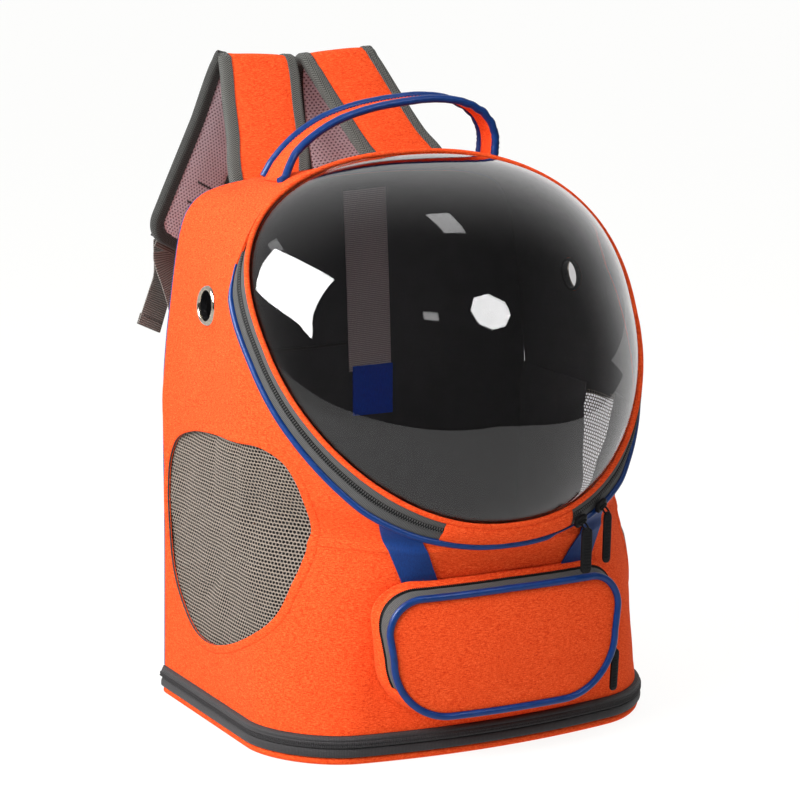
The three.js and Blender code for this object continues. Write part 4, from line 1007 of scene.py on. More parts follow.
EYE_P, EYE_NRM = on_side(EYE_Y, EYE_Z, 1)
EYE_NRM = unit(np.mean([on_side(EYE_Y + a, EYE_Z + b, 1)[1] for a in (-10, 0, 10) for b in (-10, 0, 10)], axis=0))
EYE_NRM = unit(EYE_NRM + np.array([0, -0.10, 0]))
E1 = unit(np.cross(EYE_NRM, [0, 0, 1.0]))
E2 = np.cross(EYE_NRM, E1)
cutters = []
for side in (-1, 1):
    L = outline_loop(0.0)
    mk = lambda x: np.stack([np.full(len(L), x * -side), L[:, 0], L[:, 1]], -1)
    cutters.append(cutter("cut_window", mk(-230.0), mk(-92.0)))
    a = np.arange(40) / 40 * 2 * math.pi
    ring = EYE_P + (EYE_HOLE + 2.4) * (np.cos(a)[:, None] * E1 + np.sin(a)[:, None] * E2)
    flip = np.array([-side, 1, 1])
    cutters.append(cutter("cut_eyelet", (ring + EYE_NRM * 15) * flip, (ring - EYE_NRM * 15) * flip))
for c in cutters:
    md = wall_obj.modifiers.new("cut", "BOOLEAN")
    md.operation, md.solver, md.object = "DIFFERENCE", "MANIFOLD", c
dg = bpy.context.evaluated_depsgraph_get()
cut = bpy.data.meshes.new_from_object(wall_obj.evaluated_get(dg))
for c in cutters:
    bpy.data.objects.remove(c)
bpy.data.objects.remove(wall_obj)


def panel(name, nodes, planes):
    """Part of the cut shell on the kept side of each plane (point, normal of the side that goes)."""
    b = bmesh.new()
    b.from_mesh(cut)
    for co, no in planes:
        g = b.verts[:] + b.edges[:] + b.faces[:]
        r = bmesh.ops.bisect_plane(b, geom=g, plane_co=Vector(co) * MM, plane_no=Vector(no), clear_outer=True, dist=1e-7)
        edges = [e for e in b.edges if e.is_boundary]
        bmesh.ops.holes_fill(b, edges=edges, sides=0)
    m = bpy.data.meshes.new(name)
    b.to_mesh(m)
    b.free()
    m.materials.append(M["cloth"])
    m.materials.append(M["lining"])
    m.polygons.foreach_set("use_smooth", np.ones(len(m.polygons), bool))
    o = bpy.data.objects.new(name, m)
    SCENE.collection.objects.link(o)
    tidy(o, 38)
    return settle(o, "orange_cloth", nodes)


panel("side_panel_left_cloth", ["side_panel_left"], [((-SEAM_X, 0, 0), (1, 0, 0))])
panel("side_panel_right_cloth", ["side_panel_right"], [((SEAM_X, 0, 0), (-1, 0, 0))])
panel("front_panel_cloth", ["front_panel"], [((-SEAM_X, 0, 0), (-1, 0, 0)), ((SEAM_X, 0, 0), (1, 0, 0)), ((0, 0, 300), (0, 0, 1))])
panel("top_panel_cloth", ["top_panel"], [((-SEAM_X, 0, 0), (-1, 0, 0)), ((SEAM_X, 0, 0), (1, 0, 0)), ((0, 0, 300), (0, 0, -1))])

# ------------------------------------------------------------------ mesh windows
PITCH_S, PITCH_Z = 3.4, 2.8
HOLE_S, HOLE_Z = 2.6, 2.2


def inside(P, loop):
    x, y = P[:, 0], P[:, 1]
    r = np.zeros(len(P), bool)
    n = len(loop)
    for i in range(n):
        (x0, y0), (x1, y1) = loop[i], loop[(i + 1) % n]
        c = ((y0 > y) != (y1 > y)) & (x < (x1 - x0) * (y - y0) / (y1 - y0 + 1e-12) + x0)
        r ^= c
    return r


def window_sag(y, z, seed):
    """Loose folds of the mesh, in millimetres inwards."""
    d = 0.8 + 0.7 * soft(0, y, z, 48, seed)
    d += 1.1 * math.exp(-((y - 34 + (z - 190) * 0.25) / 5) ** 2) * sstep(140, 205, z)
    d += 0.9 * math.exp(-((y + 6 + (z - 190) * 0.30) / 6) ** 2) * sstep(130, 195, z)
    d += 0.7 * math.exp(-((y + 34 + (z - 190) * 0.30) / 6) ** 2) * sstep(130, 195, z)
    d += 1.2 * math.exp(-((z - 104 + (y - 44) * 0.85) / 6) ** 2) * math.exp(-((y - 34) / 26) ** 2)
    d += 0.35 * math.sin(y * 0.16 + z * 0.07)
    if seed == 4:
        d -= 5.0 * sstep(-20, -60, y) * math.exp(-((z - 128) / 24) ** 2)
    return float(np.clip(d, -3.4, 3.6))


BASE_Y, BASE_Z = np.arange(-99.0, 136.0, 3.0), np.arange(44.0, 263.0, 3.0)


def window_base(side):
    """Evened-out distance of the wall from the middle over the window, for the mesh to hang from."""
    X = np.array([[on_side(y, z, side)[0][0] for z in BASE_Z] for y in BASE_Y])
    g = np.exp(-0.5 * (np.arange(-6, 7) / 2.2) ** 2)
    g /= g.sum()
    for ax in (0, 1):
        pad = [(6, 6) if a == ax else (0, 0) for a in (0, 1)]
        X = np.apply_along_axis(lambda r: np.convolve(r, g, "valid"), ax, np.pad(X, pad, "edge"))
    return X, np.gradient(X, 3.0, axis=0), np.gradient(X, 3.0, axis=1)


def base_at(grids, y, z):
    u, v = (y - BASE_Y[0]) / 3.0, (z - BASE_Z[0]) / 3.0
    i, j = int(np.clip(u, 0, len(BASE_Y) - 2)), int(np.clip(v, 0, len(BASE_Z) - 2))
    a, b = u - i, v - j
    x, fy, fz = (g[i, j] * (1 - a) * (1 - b) + g[i + 1, j] * a * (1 - b) + g[i, j + 1] * (1 - a) * b + g[i + 1, j + 1] * a * b for g in grids)
    n = np.array([-1.0, fy, fz])
    return np.array([x, y, z]), n / math.sqrt(1 + fy * fy + fz * fz)


BASES = {1: window_base(1), -1: window_base(-1)}


def lattice(side, seed):
    """Net of six-sided holes, every second row set over by half."""
    loop = outline_loop(4.0)
    P, L = plan_at(150.0)
    ys = P[:60, 1]
    y_of = lambda s: float(np.interp(s, L[:60], ys))
    ns, nz = int(L[59] / PITCH_S) + 1, int((242 - 56) / PITCH_Z) + 1
    S0, Z0 = 2.0, 56.0
    keys = [(i, j) for i in range(ns) for j in range(nz)]
    mid = lambda i, j: (S0 + (i + 0.5 * (j % 2) + 0.5) * PITCH_S, Z0 + (j + 0.5) * PITCH_Z)
    ok = inside(np.array([(y_of(mid(*c)[0]), mid(*c)[1]) for c in keys]), loop)
    live = {c for c, t in zip(keys, ok) if t}
    B = Build()
    pts, index, faces = [], {}, []

    def place(s, z, back, lift):
        y = y_of(s)
        p, n = base_at(BASES[side], y, z)
        return p - n * (2.35 + window_sag(y, z, seed) + (0.16 if back else 0.0) - lift)

    def corner(k, j, back):
        key = (k, j, back)
        if key not in index:
            index[key] = len(pts)
            zz = Z0 + j * PITCH_Z + (0.28 if (k + j) % 2 else -0.28)
            pts.append(place(S0 + k * PITCH_S / 2, zz, back, 0.0 if back else 0.06))
        return index[key]

    a, b = HOLE_S / 2, HOLE_Z / 2
    hole = [(-a, -b * 0.62), (0.0, -b), (a, -b * 0.62), (a, b * 0.62), (0.0, b), (-a, b * 0.62)]
    for (i, j) in sorted(live):
        s, z = mid(i, j)
        k = 2 * i + j % 2
        ring = [(k, j), (k + 1, j), (k + 2, j), (k + 2, j + 1), (k + 1, j + 1), (k, j + 1)]
        low = (i - 1, i) if j % 2 == 0 else (i, i + 1)
        near = [(low[0], j - 1), (low[1], j - 1), (i + 1, j), (low[1], j + 1), (low[0], j + 1), (i - 1, j)]
        h = {}
        for back in (False, True):
            h[back] = list(range(len(pts), len(pts) + 6))
            pts.extend(place(s + ds, z + dz, back, 0.0) for ds, dz in hole)
            c = [corner(u, v, back) for u, v in ring]
            for q in range(6):
                r = (q + 1) % 6
                f = (c[q], c[r], h[back][r], h[back][q])
                faces.append(f[::-1] if back else f)
        for q in range(6):
            r = (q + 1) % 6
            faces.append((h[False][q], h[False][r], h[True][r], h[True][q]))
            if near[q] not in live:
                A, C = ring[q], ring[r]
                faces.append((corner(*C, False), corner(*A, False), corner(*A, True), corner(*C, True)))
    B.points(pts)
    B.faces(faces, 0)
    return B


for name, side, seed in (("left", 1, 3), ("right", -1, 4)):
    B = lattice(side, seed)
    if side == 1:
        B.f = [f[::-1] for f in B.f]
    else:
        B = B.mirrored()
        B.f = [f[::-1] for f in B.f]
    o = B.object("mesh_window_%s_net" % name, [M["mesh"]], "window_mesh", ["mesh_window_" + name], sharp=None)

# the lining of the right side hangs loose in front of its window and leaves a narrow gap
B = Build()
zz = np.linspace(52, 244, 40)
gap = np.clip((zz - 118) / 110, 0, 1)
rear, fore = 6 + 12 * gap, 4 - 34 * gap ** 0.8
for y0, y1 in ((np.full(40, 117.0), rear), (fore, np.full(40, -88.0))):
    rings = []
    for a, z in enumerate(zz):
        face, rear_face = [], []
        for t in np.linspace(0, 1, 25):
            y = y0[a] + (y1[a] - y0[a]) * t
            q, n = base_at(BASES[-1], y, z)
            d = 4.4 + (2.8 + 1.1 * math.sin(z * 0.06 + y * 0.05)) * min(1.0, a / 4, (39 - a) / 4)
            face.append(q - n * d)
            rear_face.append(q - n * (d + 0.8))
        rings.append(np.array(face + rear_face[::-1]) * np.array([-1, 1, 1]))
    B.loft(np.array(rings), 0)
B.object("side_panel_right_lining", [M["lining"]], "zip_tape", sharp=50)

# ------------------------------------------------------------------ stitches
STITCH = {"cloth": Build(), "dark": Build()}


def stitch_run(key, P, N, pitch=3.2, fill=0.68, r=0.32, loop=False):
    """Row of thread stitches along points P with surface normals N."""
    Q = np.vstack([P, P[:1]]) if loop else P
    K = np.vstack([N, N[:1]]) if loop else N
    L = arclen(Q)
    n = max(1, int(L[-1] / pitch))
    for i in range(n):
        d0 = (i + 0.5 - fill / 2) * L[-1] / n
        d1 = (i + 0.5 + fill / 2) * L[-1] / n
        a, b = at(Q, np.array([d0, d1]), L)
        nn = unit(at(K, np.array([(d0 + d1) / 2]), L)[0])
        STITCH[key].capsule(a + nn * 0.12, b + nn * 0.12, nn, r)


for side in (1, -1):
    flip = np.array([1 if side == 1 else -1, 1, 1])
    hem = [on_side(y, z, side) for y, z in outline_loop(4.6, 160)]
    stitch_run("cloth", np.array([h[0] for h in hem]) * flip, np.array([h[1] for h in hem]) * flip, loop=True)

# folded hem round each window
for name, side in (("left", 1), ("right", -1)):
    B = Build()
    rings = []
    prof = [(0.1, -1.7), (-0.3, -0.8), (-0.15, 0.2), (0.7, 0.85), (2.6, 0.85), (4.4, 0.75), (6.0, 0.62), (6.6, 0.0), (6.2, -0.6), (3.0, -0.6)]
    loops = [outline_loop(g, 160) for g, _ in prof]
    flip = np.array([1 if side == 1 else -1, 1, 1])
    for i in range(160):
        ring = []
        for (g, h), L in zip(prof, loops):
            p, n = on_side(L[i, 0], L[i, 1], side)
            ring.append((p + n * h) * flip)
        rings.append(ring)
    B.loft(np.array(rings), 0, loop=True, flip=(side == -1))
    # the inner lip and the underside of the hem take the lining: the underside is the lining, and the dark lip is
    # painted shade along the window's edge
    for i in range(160):
        for j in (0, 1, 9):
            B.m[i * len(prof) + j] = 1
    B.object("window_hem_" + name, [M["cloth"], M["lining"]], "orange_cloth", sharp=50)

# ------------------------------------------------------------------ eyelets
prof = [(11.2, -4.2), (11.2, -1.0), (11.25, 0.6), (11.5, 1.5), (12.0, 2.15), (12.7, 2.6), (13.4, 2.65), (14.2, 2.3), (14.9, 1.65), (15.4, 1.0),
        (15.6, 0.55), (15.2, 0.3), (14.2, 0.3), (13.3, 0.3), (13.2, -1.5), (13.2, -4.2)]
for name, side in (("left", 1), ("right", -1)):
    B = Build()
    rings = []
    flip = np.array([1 if side == 1 else -1, 1, 1])
    for a in np.arange(72) / 72 * 2 * math.pi:
        d = math.cos(a) * E1 + math.sin(a) * E2
        rings.append([(EYE_P + d * r + EYE_NRM * (h + 0.25)) * flip for r, h in prof])
    B.loft(np.array(rings), 0, loop=True, flip=(side == 1))
    # the bore and the hidden back of the ring take black: in the bore the black is painted shade
    for i in range(72):
        for j in (0, 1, 14, 15):
            B.m[i * len(prof) + j] = 1
    B.object("eyelet_%s_ring" % name, [M["chrome"], M["black"]], "chrome", ["eyelet_" + name], sharp=60)

# ------------------------------------------------------------------ base tray and zipper band
def plan_loop(z, out, at_z, n=150):
    P, L = plan_at(z)
    half = at(P, np.linspace(0, L[-1], n + 1), L)
    pts = np.vstack([half, half[:-1][::-1] * np.array([-1, 1])])
    T = tangents(pts, True)
    O = np.stack([T[:, 1], -T[:, 0]], -1)
    s = np.sign((O * pts).sum(1))
    O *= s[:, None]
    return np.concatenate([pts + O * out, np.full((len(pts), 1), at_z)], 1), np.concatenate([O, np.zeros((len(O), 1))], 1)


B = Build()
prof = [(-1.5, 0.0), (0.0, 0.15), (1.3, 0.75), (2.2, 1.8), (2.6, 3.2), (2.45, 4.6), (1.9, 5.6), (1.2, 6.0)]
rings = np.array([plan_loop(22, o, z)[0] for o, z in prof])
base = B.grid(rings, 0, wv=True, flip=False)
n = rings.shape[1]
B.cap([base + j for j in range(n)], 0)
B.cap([base + (len(prof) - 1) * n + j for j in range(n)], 1, flip=True)
bm_flip = B
o = B.object("base_tray_cloth", [M["cloth"], M["lining"]], "orange_cloth", ["base_tray"], sharp=50)
bm = bmesh.new(); bm.from_mesh(o.data); bmesh.ops.recalc_face_normals(bm, faces=bm.faces); bm.to_mesh(o.data); bm.free()

B = Build()
prof = [(-3.0, 0.0), (2.6, 0.0), (3.9, 0.5), (4.6, 1.5), (4.75, 3.0), (4.6, 4.8), (4.3, 6.2), (3.6, 6.9), (2.7, 7.25), (3.5, 7.6), (4.3, 8.1), (4.5, 8.8),
        (4.4, 10.2), (4.5, 11.7), (4.3, 12.4), (3.7, 12.8), (4.1, 13.3), (4.0, 14.2), (3.4, 15.2), (2.2, 16.0), (-3.0, 16.0)]
loops = [plan_loop(22, o, TRAY_H + GAP + u)[0] for o, u in prof]
R = np.array([[l[i] for l in loops] for i in range(len(loops[0]))])
L = arclen(np.vstack([loops[0], loops[0][:1]]))
pv = arclen(np.array([[a, b, 0] for a, b in prof + prof[:1]]))
U = np.repeat(L[:, None], len(prof) + 1, 1)
Vv = np.repeat(pv[None], len(L), 0)
B.loft(R, 0, loop=True, uv=(U, Vv))
# coil teeth in two rows round the sides and the front
for up, ph in ((9.25, 0.0), (11.15, 0.5)):
    line, outw = plan_loop(22, 4.45, TRAY_H + GAP + up, 400)
    line, outw = line[:801], outw[:801]
    Lr = arclen(line)
    for d in np.arange(2.0 + ph * 0.85, Lr[-1] - 2, 1.7):
        p = at(line, np.array([d]), Lr)[0]
        q = at(line, np.array([d + 0.5]), Lr)[0]
        t = unit(q - p)
        nrm = unit(at(outw, np.array([d]), Lr)[0])
        B.box(p + nrm * 0.15, t, np.array([0, 0, 1.0]), nrm, (0.52, 0.85, 0.5), 1, 0.62, bottom=False)
o = B.object("base_band_zip", [M["band_tape"], M["band_coil"]], "zip_tape", ["base_band"], sharp=50)

# ------------------------------------------------------------------ back panel and its piping
BACK_FULL = np.vstack([BACK_SMOOTH, BACK_SMOOTH[:-1][::-1] * np.array([-1, 1, 1])])


def back_loop(inset, n=120):
    P = resample(BACK_FULL, n)
    T = tangents(P)
    O = np.stack([-T[:, 2], 0 * T[:, 0], T[:, 0]], -1)
    s = np.sign(O[:, 0] * P[:, 0] + O[:, 2] * (P[:, 2] - 200))
    O *= -s[:, None]
    return P + O * inset


B = Build()
edge = back_loop(CLOTH + GAP + 0.9)
edge[0, 2] = edge[-1, 2] = WALL_Z
ctr = np.array([0.0, BACK_Y, 215.0])
ts = [1.0, 0.985, 0.95, 0.9, 0.8, 0.65, 0.45, 0.25, 0.0]
def back_face(y, crown):
    out = []
    for t in ts:
        Q = ctr + (edge - ctr) * t
        Q[:, 1] = y + crown * np.array([max(0.0, 1 - t**3) * 0.9 + 0.5 * soft(p[0], 0, p[2], 60, 9) * (1 - t) for p in Q])
        out.append(Q)
    return np.array(out)
fo, fi = back_face(BACK_Y - 0.05, -0.0), back_face(BACK_Y - BACK_T, 0.0)
fo[1:, :, 1] += 0.0
G = np.concatenate([fi[::-1][1:], fo], 0)
bo = B.grid(fo, 0, wv=False)
bi = B.grid(fi, 1, wv=False, flip=True)
n = edge.shape[0]
B.faces([(bo + j + 1, bo + j, bi + j, bi + j + 1) for j in range(n - 1)], 0)
for b0, mt, fl in ((bo, 0, False), (bi, 1, True)):
    F = [(b0 + i * n + n - 1, b0 + (i + 1) * n + n - 1, b0 + (i + 1) * n, b0 + i * n) for i in range(len(ts) - 2)] + [(b0 + (len(ts) - 2) * n + n - 1, b0 + (len(ts) - 1) * n, b0 + (len(ts) - 2) * n)]
    B.faces([f[::-1] for f in F] if fl else F, mt)
B.faces([(bo, bo + n - 1, bi + n - 1, bi)], 0)
seam = np.stack([np.linspace(-96, -4, 40), np.full(40, BACK_Y - BACK_T - 0.5), np.linspace(269.5, 273.5, 40) + 0.8 * np.sin(np.linspace(0, 5, 40))], -1)
B.tube(seam, 1.25, 8, mat=2)
o = B.object("back_panel_cloth", [M["cloth"], M["lining"], M["stitch_dark"]], "orange_cloth", ["back_panel"], sharp=50, weld=0.02)
bm = bmesh.new(); bm.from_mesh(o.data); bmesh.ops.recalc_face_normals(bm, faces=bm.faces); bm.to_mesh(o.data); bm.free()
B = Build()
line = back_loop(2.4, 200)
line[:, 1] = BACK_Y + PIPING_R + GAP - 0.2
B.tube(line, PIPING_R, 12)
B.object("back_piping_cord", [M["piping"]], "blue_piping", ["back_piping"])
inner = back_loop(9.0, 220)
inner[:, 1] = BACK_Y
stitch_run("cloth", inner, np.repeat([[0, 1.0, 0]], len(inner), 0), 3.4)

# ------------------------------------------------------------------ door: bead, dome, zipper, patch, piping
B = Build()
ph = even_phi(-90, 270, 240)[:-1]
bead = rim_point(ph, 1.6)
rb = np.array([2.05 + 0.12 * soft(p[0], p[1], p[2], 9, 5) for p in bead])
B.tube(bead, rb, 16, loop=True)
B.object("door_rim_bead", [M["cloth"]], "orange_cloth", ["door_rim"])


def dome_height(r):
    return DOME_RISE * np.maximum(0, 1 - r**2.15) ** 0.82


def dome_sheet(inset, drop, M_=168, R_=40):
    ph = even_phi(-90, 270, M_)[:-1]
    r = np.sin(np.linspace(0, 1, R_ + 1)[1:] * math.pi / 2)
    u, v = rim_plane(ph, inset)
    P = np.zeros((R_, M_, 3))
    for j in range(R_):
        h = dome_height(r[j]) * (1 - drop / DOME_RISE) - RIM_DISH * (u * r[j] / RIM_A) ** 2
        P[j] = RIM_O + np.stack([u * r[j], 0 * u, 0 * u], -1) + (v * r[j])[:, None] * RIM_UP + h[:, None] * RIM_NORMAL
    apex = RIM_O + RIM_NORMAL * (DOME_RISE - drop)
    return P, apex


B = Build()
ins = BEAD_R + GAP - 0.1
Po, ao = dome_sheet(ins, 0.0)
Pi, ai = dome_sheet(ins + DOME_T, DOME_T)
bo = B.grid(Po, 0, wv=True)
bi = B.grid(Pi, 0, wv=True, flip=True)
n = Po.shape[1]
co, ci = B.points(ao), B.points(ai)
B.faces([(co, bo + j, bo + (j + 1) % n) for j in range(n)], 0)
B.faces([(ci, bi + (j + 1) % n, bi + j) for j in range(n)], 0)
lo, li = bo + (Po.shape[0] - 1) * n, bi + (Po.shape[0] - 1) * n
B.faces([(lo + j, li + j, li + (j + 1) % n, lo + (j + 1) % n) for j in range(n)], 0)
dome = B.object("dome_shell", [M["dome"]], "smoke_clear", ["dome"], sharp=60)
bm = bmesh.new(); bm.from_mesh(dome.data); bmesh.ops.recalc_face_normals(bm, faces=bm.faces); bm.to_mesh(dome.data); bm.free()


def band_frame(phi):
    """Door edge, direction across to the bead, outward normal, usable span."""
    phi = np.atleast_1d(phi)
    a, b = door_edge(phi), rim_point(phi)
    d = b - a
    L = np.linalg.norm(d, axis=1)
    d = unit(d)
    n = unit(np.cross(d, rim_point(phi + 0.5) - rim_point(phi - 0.5)))
    s = np.sign((n * rim_outward(phi)).sum(1))
    return a, d, n * s[:, None], L


def band_surface(phis, prof, lo_in=3.4, hi_in=0.1):
    a, d, n, L = band_frame(phis)
    lo = np.minimum(lo_in, L * 0.3)
    hi = np.maximum(L - hi_in, lo + 0.4)
    rows = []
    for t, h in prof:
        rows.append(a + d * (lo + (hi - lo) * t)[:, None] + n * h)
    return np.array(rows).transpose(1, 0, 2), lo, hi


COIL_T = 0.46


def zip_band(from_phi, to_phi):
    B = Build()
    ph = even_phi(from_phi, to_phi, 130)
    prof = [(0.0, -1.6), (0.0, -0.2), (0.04, 0.12), (0.2, 0.16), (0.41, 0.12), (0.445, 0.0), (0.47, 0.75), (0.52, 1.25), (0.562, 1.0), (0.57, 0.6), (0.578, 1.0), (0.62, 1.25),
            (0.67, 0.75), (0.695, 0.0), (0.72, 0.1), (0.8, 0.15), (0.93, 0.12), (0.965, -0.5), (1.0, -0.9), (1.0, -1.6)]
    P, lo, hi = band_surface(ph, prof)
    m = len(prof)
    L = arclen(P[:, 0])
    pv = np.cumsum([0] + [math.hypot((prof[(i + 1) % m][0] - prof[i][0]) * 16, prof[(i + 1) % m][1] - prof[i][1]) for i in range(m)])
    U = np.repeat(L[:, None], m + 1, 1)
    Vv = np.repeat(pv[None], len(L), 0)
    base = B.grid(P, 0, wv=True, uv=(U, Vv))
    nfaces = (len(ph) - 1) * m
    for i in range(len(ph) - 1):
        for j in range(m):
            t0 = 0.5 * (prof[j][0] + prof[(j + 1) % m][0])
            if 0.446 < t0 < 0.694 and j < m - 1:
                B.m[i * m + j] = 1
    B.cap([base + j for j in range(m)], 0)
    B.cap([base + (len(ph) - 1) * m + j for j in range(m)], 0, flip=True)
    # coil teeth on both sides of the parting line
    fine = even_phi(from_phi, to_phi, 900)
    for t0, shift in ((0.505, 0.0), (0.635, 0.5)):
        S, _, _ = band_surface(fine, [(t0, 1.15)])
        a, d, n, LL = band_frame(fine)
        S = S[:, 0]
        Ls = arclen(S)
        for q in np.arange(1.0 + shift * 2.0, Ls[-1] - 1, 2.0):
            p, p2 = at(S, np.array([q, q + 0.4]), Ls)
            dd = unit(at(d, np.array([q]), Ls)[0])
            nn = unit(at(n, np.array([q]), Ls)[0])
            k = float(np.interp(q, Ls, LL))
            B.box(p, unit(p2 - p), dd, nn, (0.52, min(1.05, k * 0.055), 0.5), 2, 0.6, bottom=False)
    return B


zip_band(ZIP_LEFT - 0.6, 30.0).object("door_zip_left_tape", [M["zip_tape"], M["coil"], M["teeth"]], "zip_tape", ["door_zip_left"], sharp=50)
zip_band(-180 - ZIP_RIGHT - 0.6, 30.0).mirrored().object("door_zip_right_tape", [M["zip_tape"], M["coil"], M["teeth"]], "zip_tape", ["door_zip_right"], sharp=50)

# patch: cloth folded over the lower end of both zippers, softly rolled
B = Build()
ph = even_phi(ZIP_RIGHT - 0.4, ZIP_LEFT + 0.4, 80)
tt = np.linspace(0, 1, 13)
prof = [(0.0, -1.6)] + [(t, 0.3 + 2.5 * math.sin(math.pi * min(1, max(0, t))) ** 0.7) for t in tt] + [(1.0, -1.6)]
P, lo, hi = band_surface(ph, prof)
for i in range(len(ph)):
    s = i / (len(ph) - 1)
    puff = 0.62 + 0.38 * sstep(0, 0.03, s) * sstep(0, 0.03, 1 - s)
    a, d, n, L = band_frame(ph[i:i + 1])
    for j in range(len(prof)):
        h = prof[j][1]
        if h > 0:
            wob = 0.35 * soft(P[i, j, 0], P[i, j, 1], P[i, j, 2], 16, 6)
            P[i, j] += n[0] * ((puff - 1) * (h - 0.2) * 0.8 + wob * puff)
base = B.grid(P, 0, wv=True)
m = len(prof)
B.cap([base + j for j in range(m)], 0)
B.cap([base + (len(ph) - 1) * m + j for j in range(m)], 0, flip=True)
o = B.object("door_patch_cloth", [M["cloth"]], "orange_cloth", ["door_patch"], sharp=60)
bm = bmesh.new(); bm.from_mesh(o.data); bmesh.ops.recalc_face_normals(bm, faces=bm.faces); bm.to_mesh(o.data); bm.free()


def piping_point(phi):
    a = door_edge(phi)
    d = unit(rim_point(phi) - a)
    return a + d * (PIPING_R + GAP + 0.3) + rim_outward(phi) * 0.7


B = Build()
top = 27.5
ph = even_phi(-180 - top, top, 260)
line = piping_point(ph)
rr = (PIPING_R + 0.5) * (1 - 0.72 * sstep(-101, -105, ph) * sstep(-118, -114, ph))
rr *= np.clip(np.minimum(np.arange(len(line)), np.arange(len(line))[::-1]) / 10.0, 0.35, 1)
B.tube(line, rr, 12)
B.object("door_piping_cord", [M["piping"]], "blue_piping", ["door_piping"])

# ------------------------------------------------------------------ sliders and pulls
def pull_mesh(B, top, lean, length, w, t, facing):
    """Moulded pull: neck and long rounded grip with raised ribs. facing is the direction its flat side looks."""
    F = unit(facing)
    down = unit(np.array([lean[0], lean[1], -length]))
    F = unit(F - F.dot(down) * down)
    S = np.cross(down, F)
    prof = [(0.00, 0.35, 0.6), (0.02, 0.62, 0.8), (0.06, 0.9, 0.95), (0.12, 1.0, 1.0), (0.30, 1.0, 1.0), (0.55, 1.0, 1.0), (0.80, 1.0, 1.0), (0.91, 0.98, 0.98),
            (0.96, 0.86, 0.9), (0.985, 0.66, 0.72), (1.0, 0.4, 0.45)]
    rings = []
    for s, kw, kt in prof:
        c = top + down * length * s
        ring = []
        for a in np.arange(20) / 20 * 2 * math.pi:
            x, y = spow(math.cos(a), 0.5), spow(math.sin(a), 0.5)
            ring.append(c + S * x * w / 2 * kw + F * y * t / 2 * kt)
        rings.append(ring)
    B.loft(np.array(rings), 0)
    # raised ribs on the grip
    for s in np.linspace(0.2, 0.9, 11):
        c = top + down * length * s + F * (t / 2 - 0.1)
        B.capsule(c - S * w * 0.36, c + S * w * 0.36, F, 0.5, 0, 8)


def rounded_block(B, c, X, Y, Z, size, r=0.5, mat=0):
    """Block with rounded plan and crowned top."""
    rings = []
    for h, k in ((-0.5, 0.88), (-0.42, 0.98), (0.25, 1.0), (0.42, 0.9), (0.5, 0.66)):
        ring = []
        for a in np.arange(28) / 28 * 2 * math.pi:
            x, y = spow(math.cos(a), r), spow(math.sin(a), r)
            ring.append(c + X * x * size[0] / 2 * k + Y * y * size[1] / 2 * k + Z * size[2] * h)
        rings.append(ring)
    B.loft(np.array(rings), mat)


for name, phi, w, l, share in (("a", -112.5, 8.6, 36.0, 0.37), ("b", -121.5, 6.4, 40.0, 0.36)):
    a, d, n, L = band_frame(np.array([phi]))
    b = rim_point(phi)
    along = unit(rim_point(phi + 0.5) - rim_point(phi - 0.5))[0]
    c = a[0] + (b[0] - a[0]) * share + n[0] * (2.2 + GAP + 2.3)
    B = Build()
    rounded_block(B, c - n[0] * 0.4, along, d[0], n[0], (12.0, 8.6, 3.6))
    rounded_block(B, c + n[0] * 1.5 + along * 0.0, along, d[0], n[0], (8.0, 3.0, 2.6), 0.6)
    B.object("zip_slider_%s_body" % name, [M["black"]], "black_plastic", ["zip_slider_" + name], sharp=60)
    top = c + n[0] * 2.2 + np.array([0, -1.7 - GAP - 3.6, -3.0])
    B = Build()
    # wire loop from the slider to the pull
    ring = []
    for t in np.linspace(0, 2 * math.pi, 24, endpoint=False):
        mid = (c + n[0] * 2.2 + top + np.array([0, 0, -1.5])) / 2
        ax = unit(top - (c + n[0] * 2.0))
        ring.append(mid + ax * math.cos(t) * 5.2 + along * math.sin(t) * 2.0)
    B.tube(np.array(ring), 0.75, 8, loop=True)
    pull_mesh(B, top + np.array([0, 0, 0.5]), (0, 1.5), l, w, 3.2, np.array([-0.15, -1.0, 0]))
    B.object("zip_pull_%s_grip" % name, [M["black"]], "black_plastic", ["zip_pull_" + name], sharp=60)

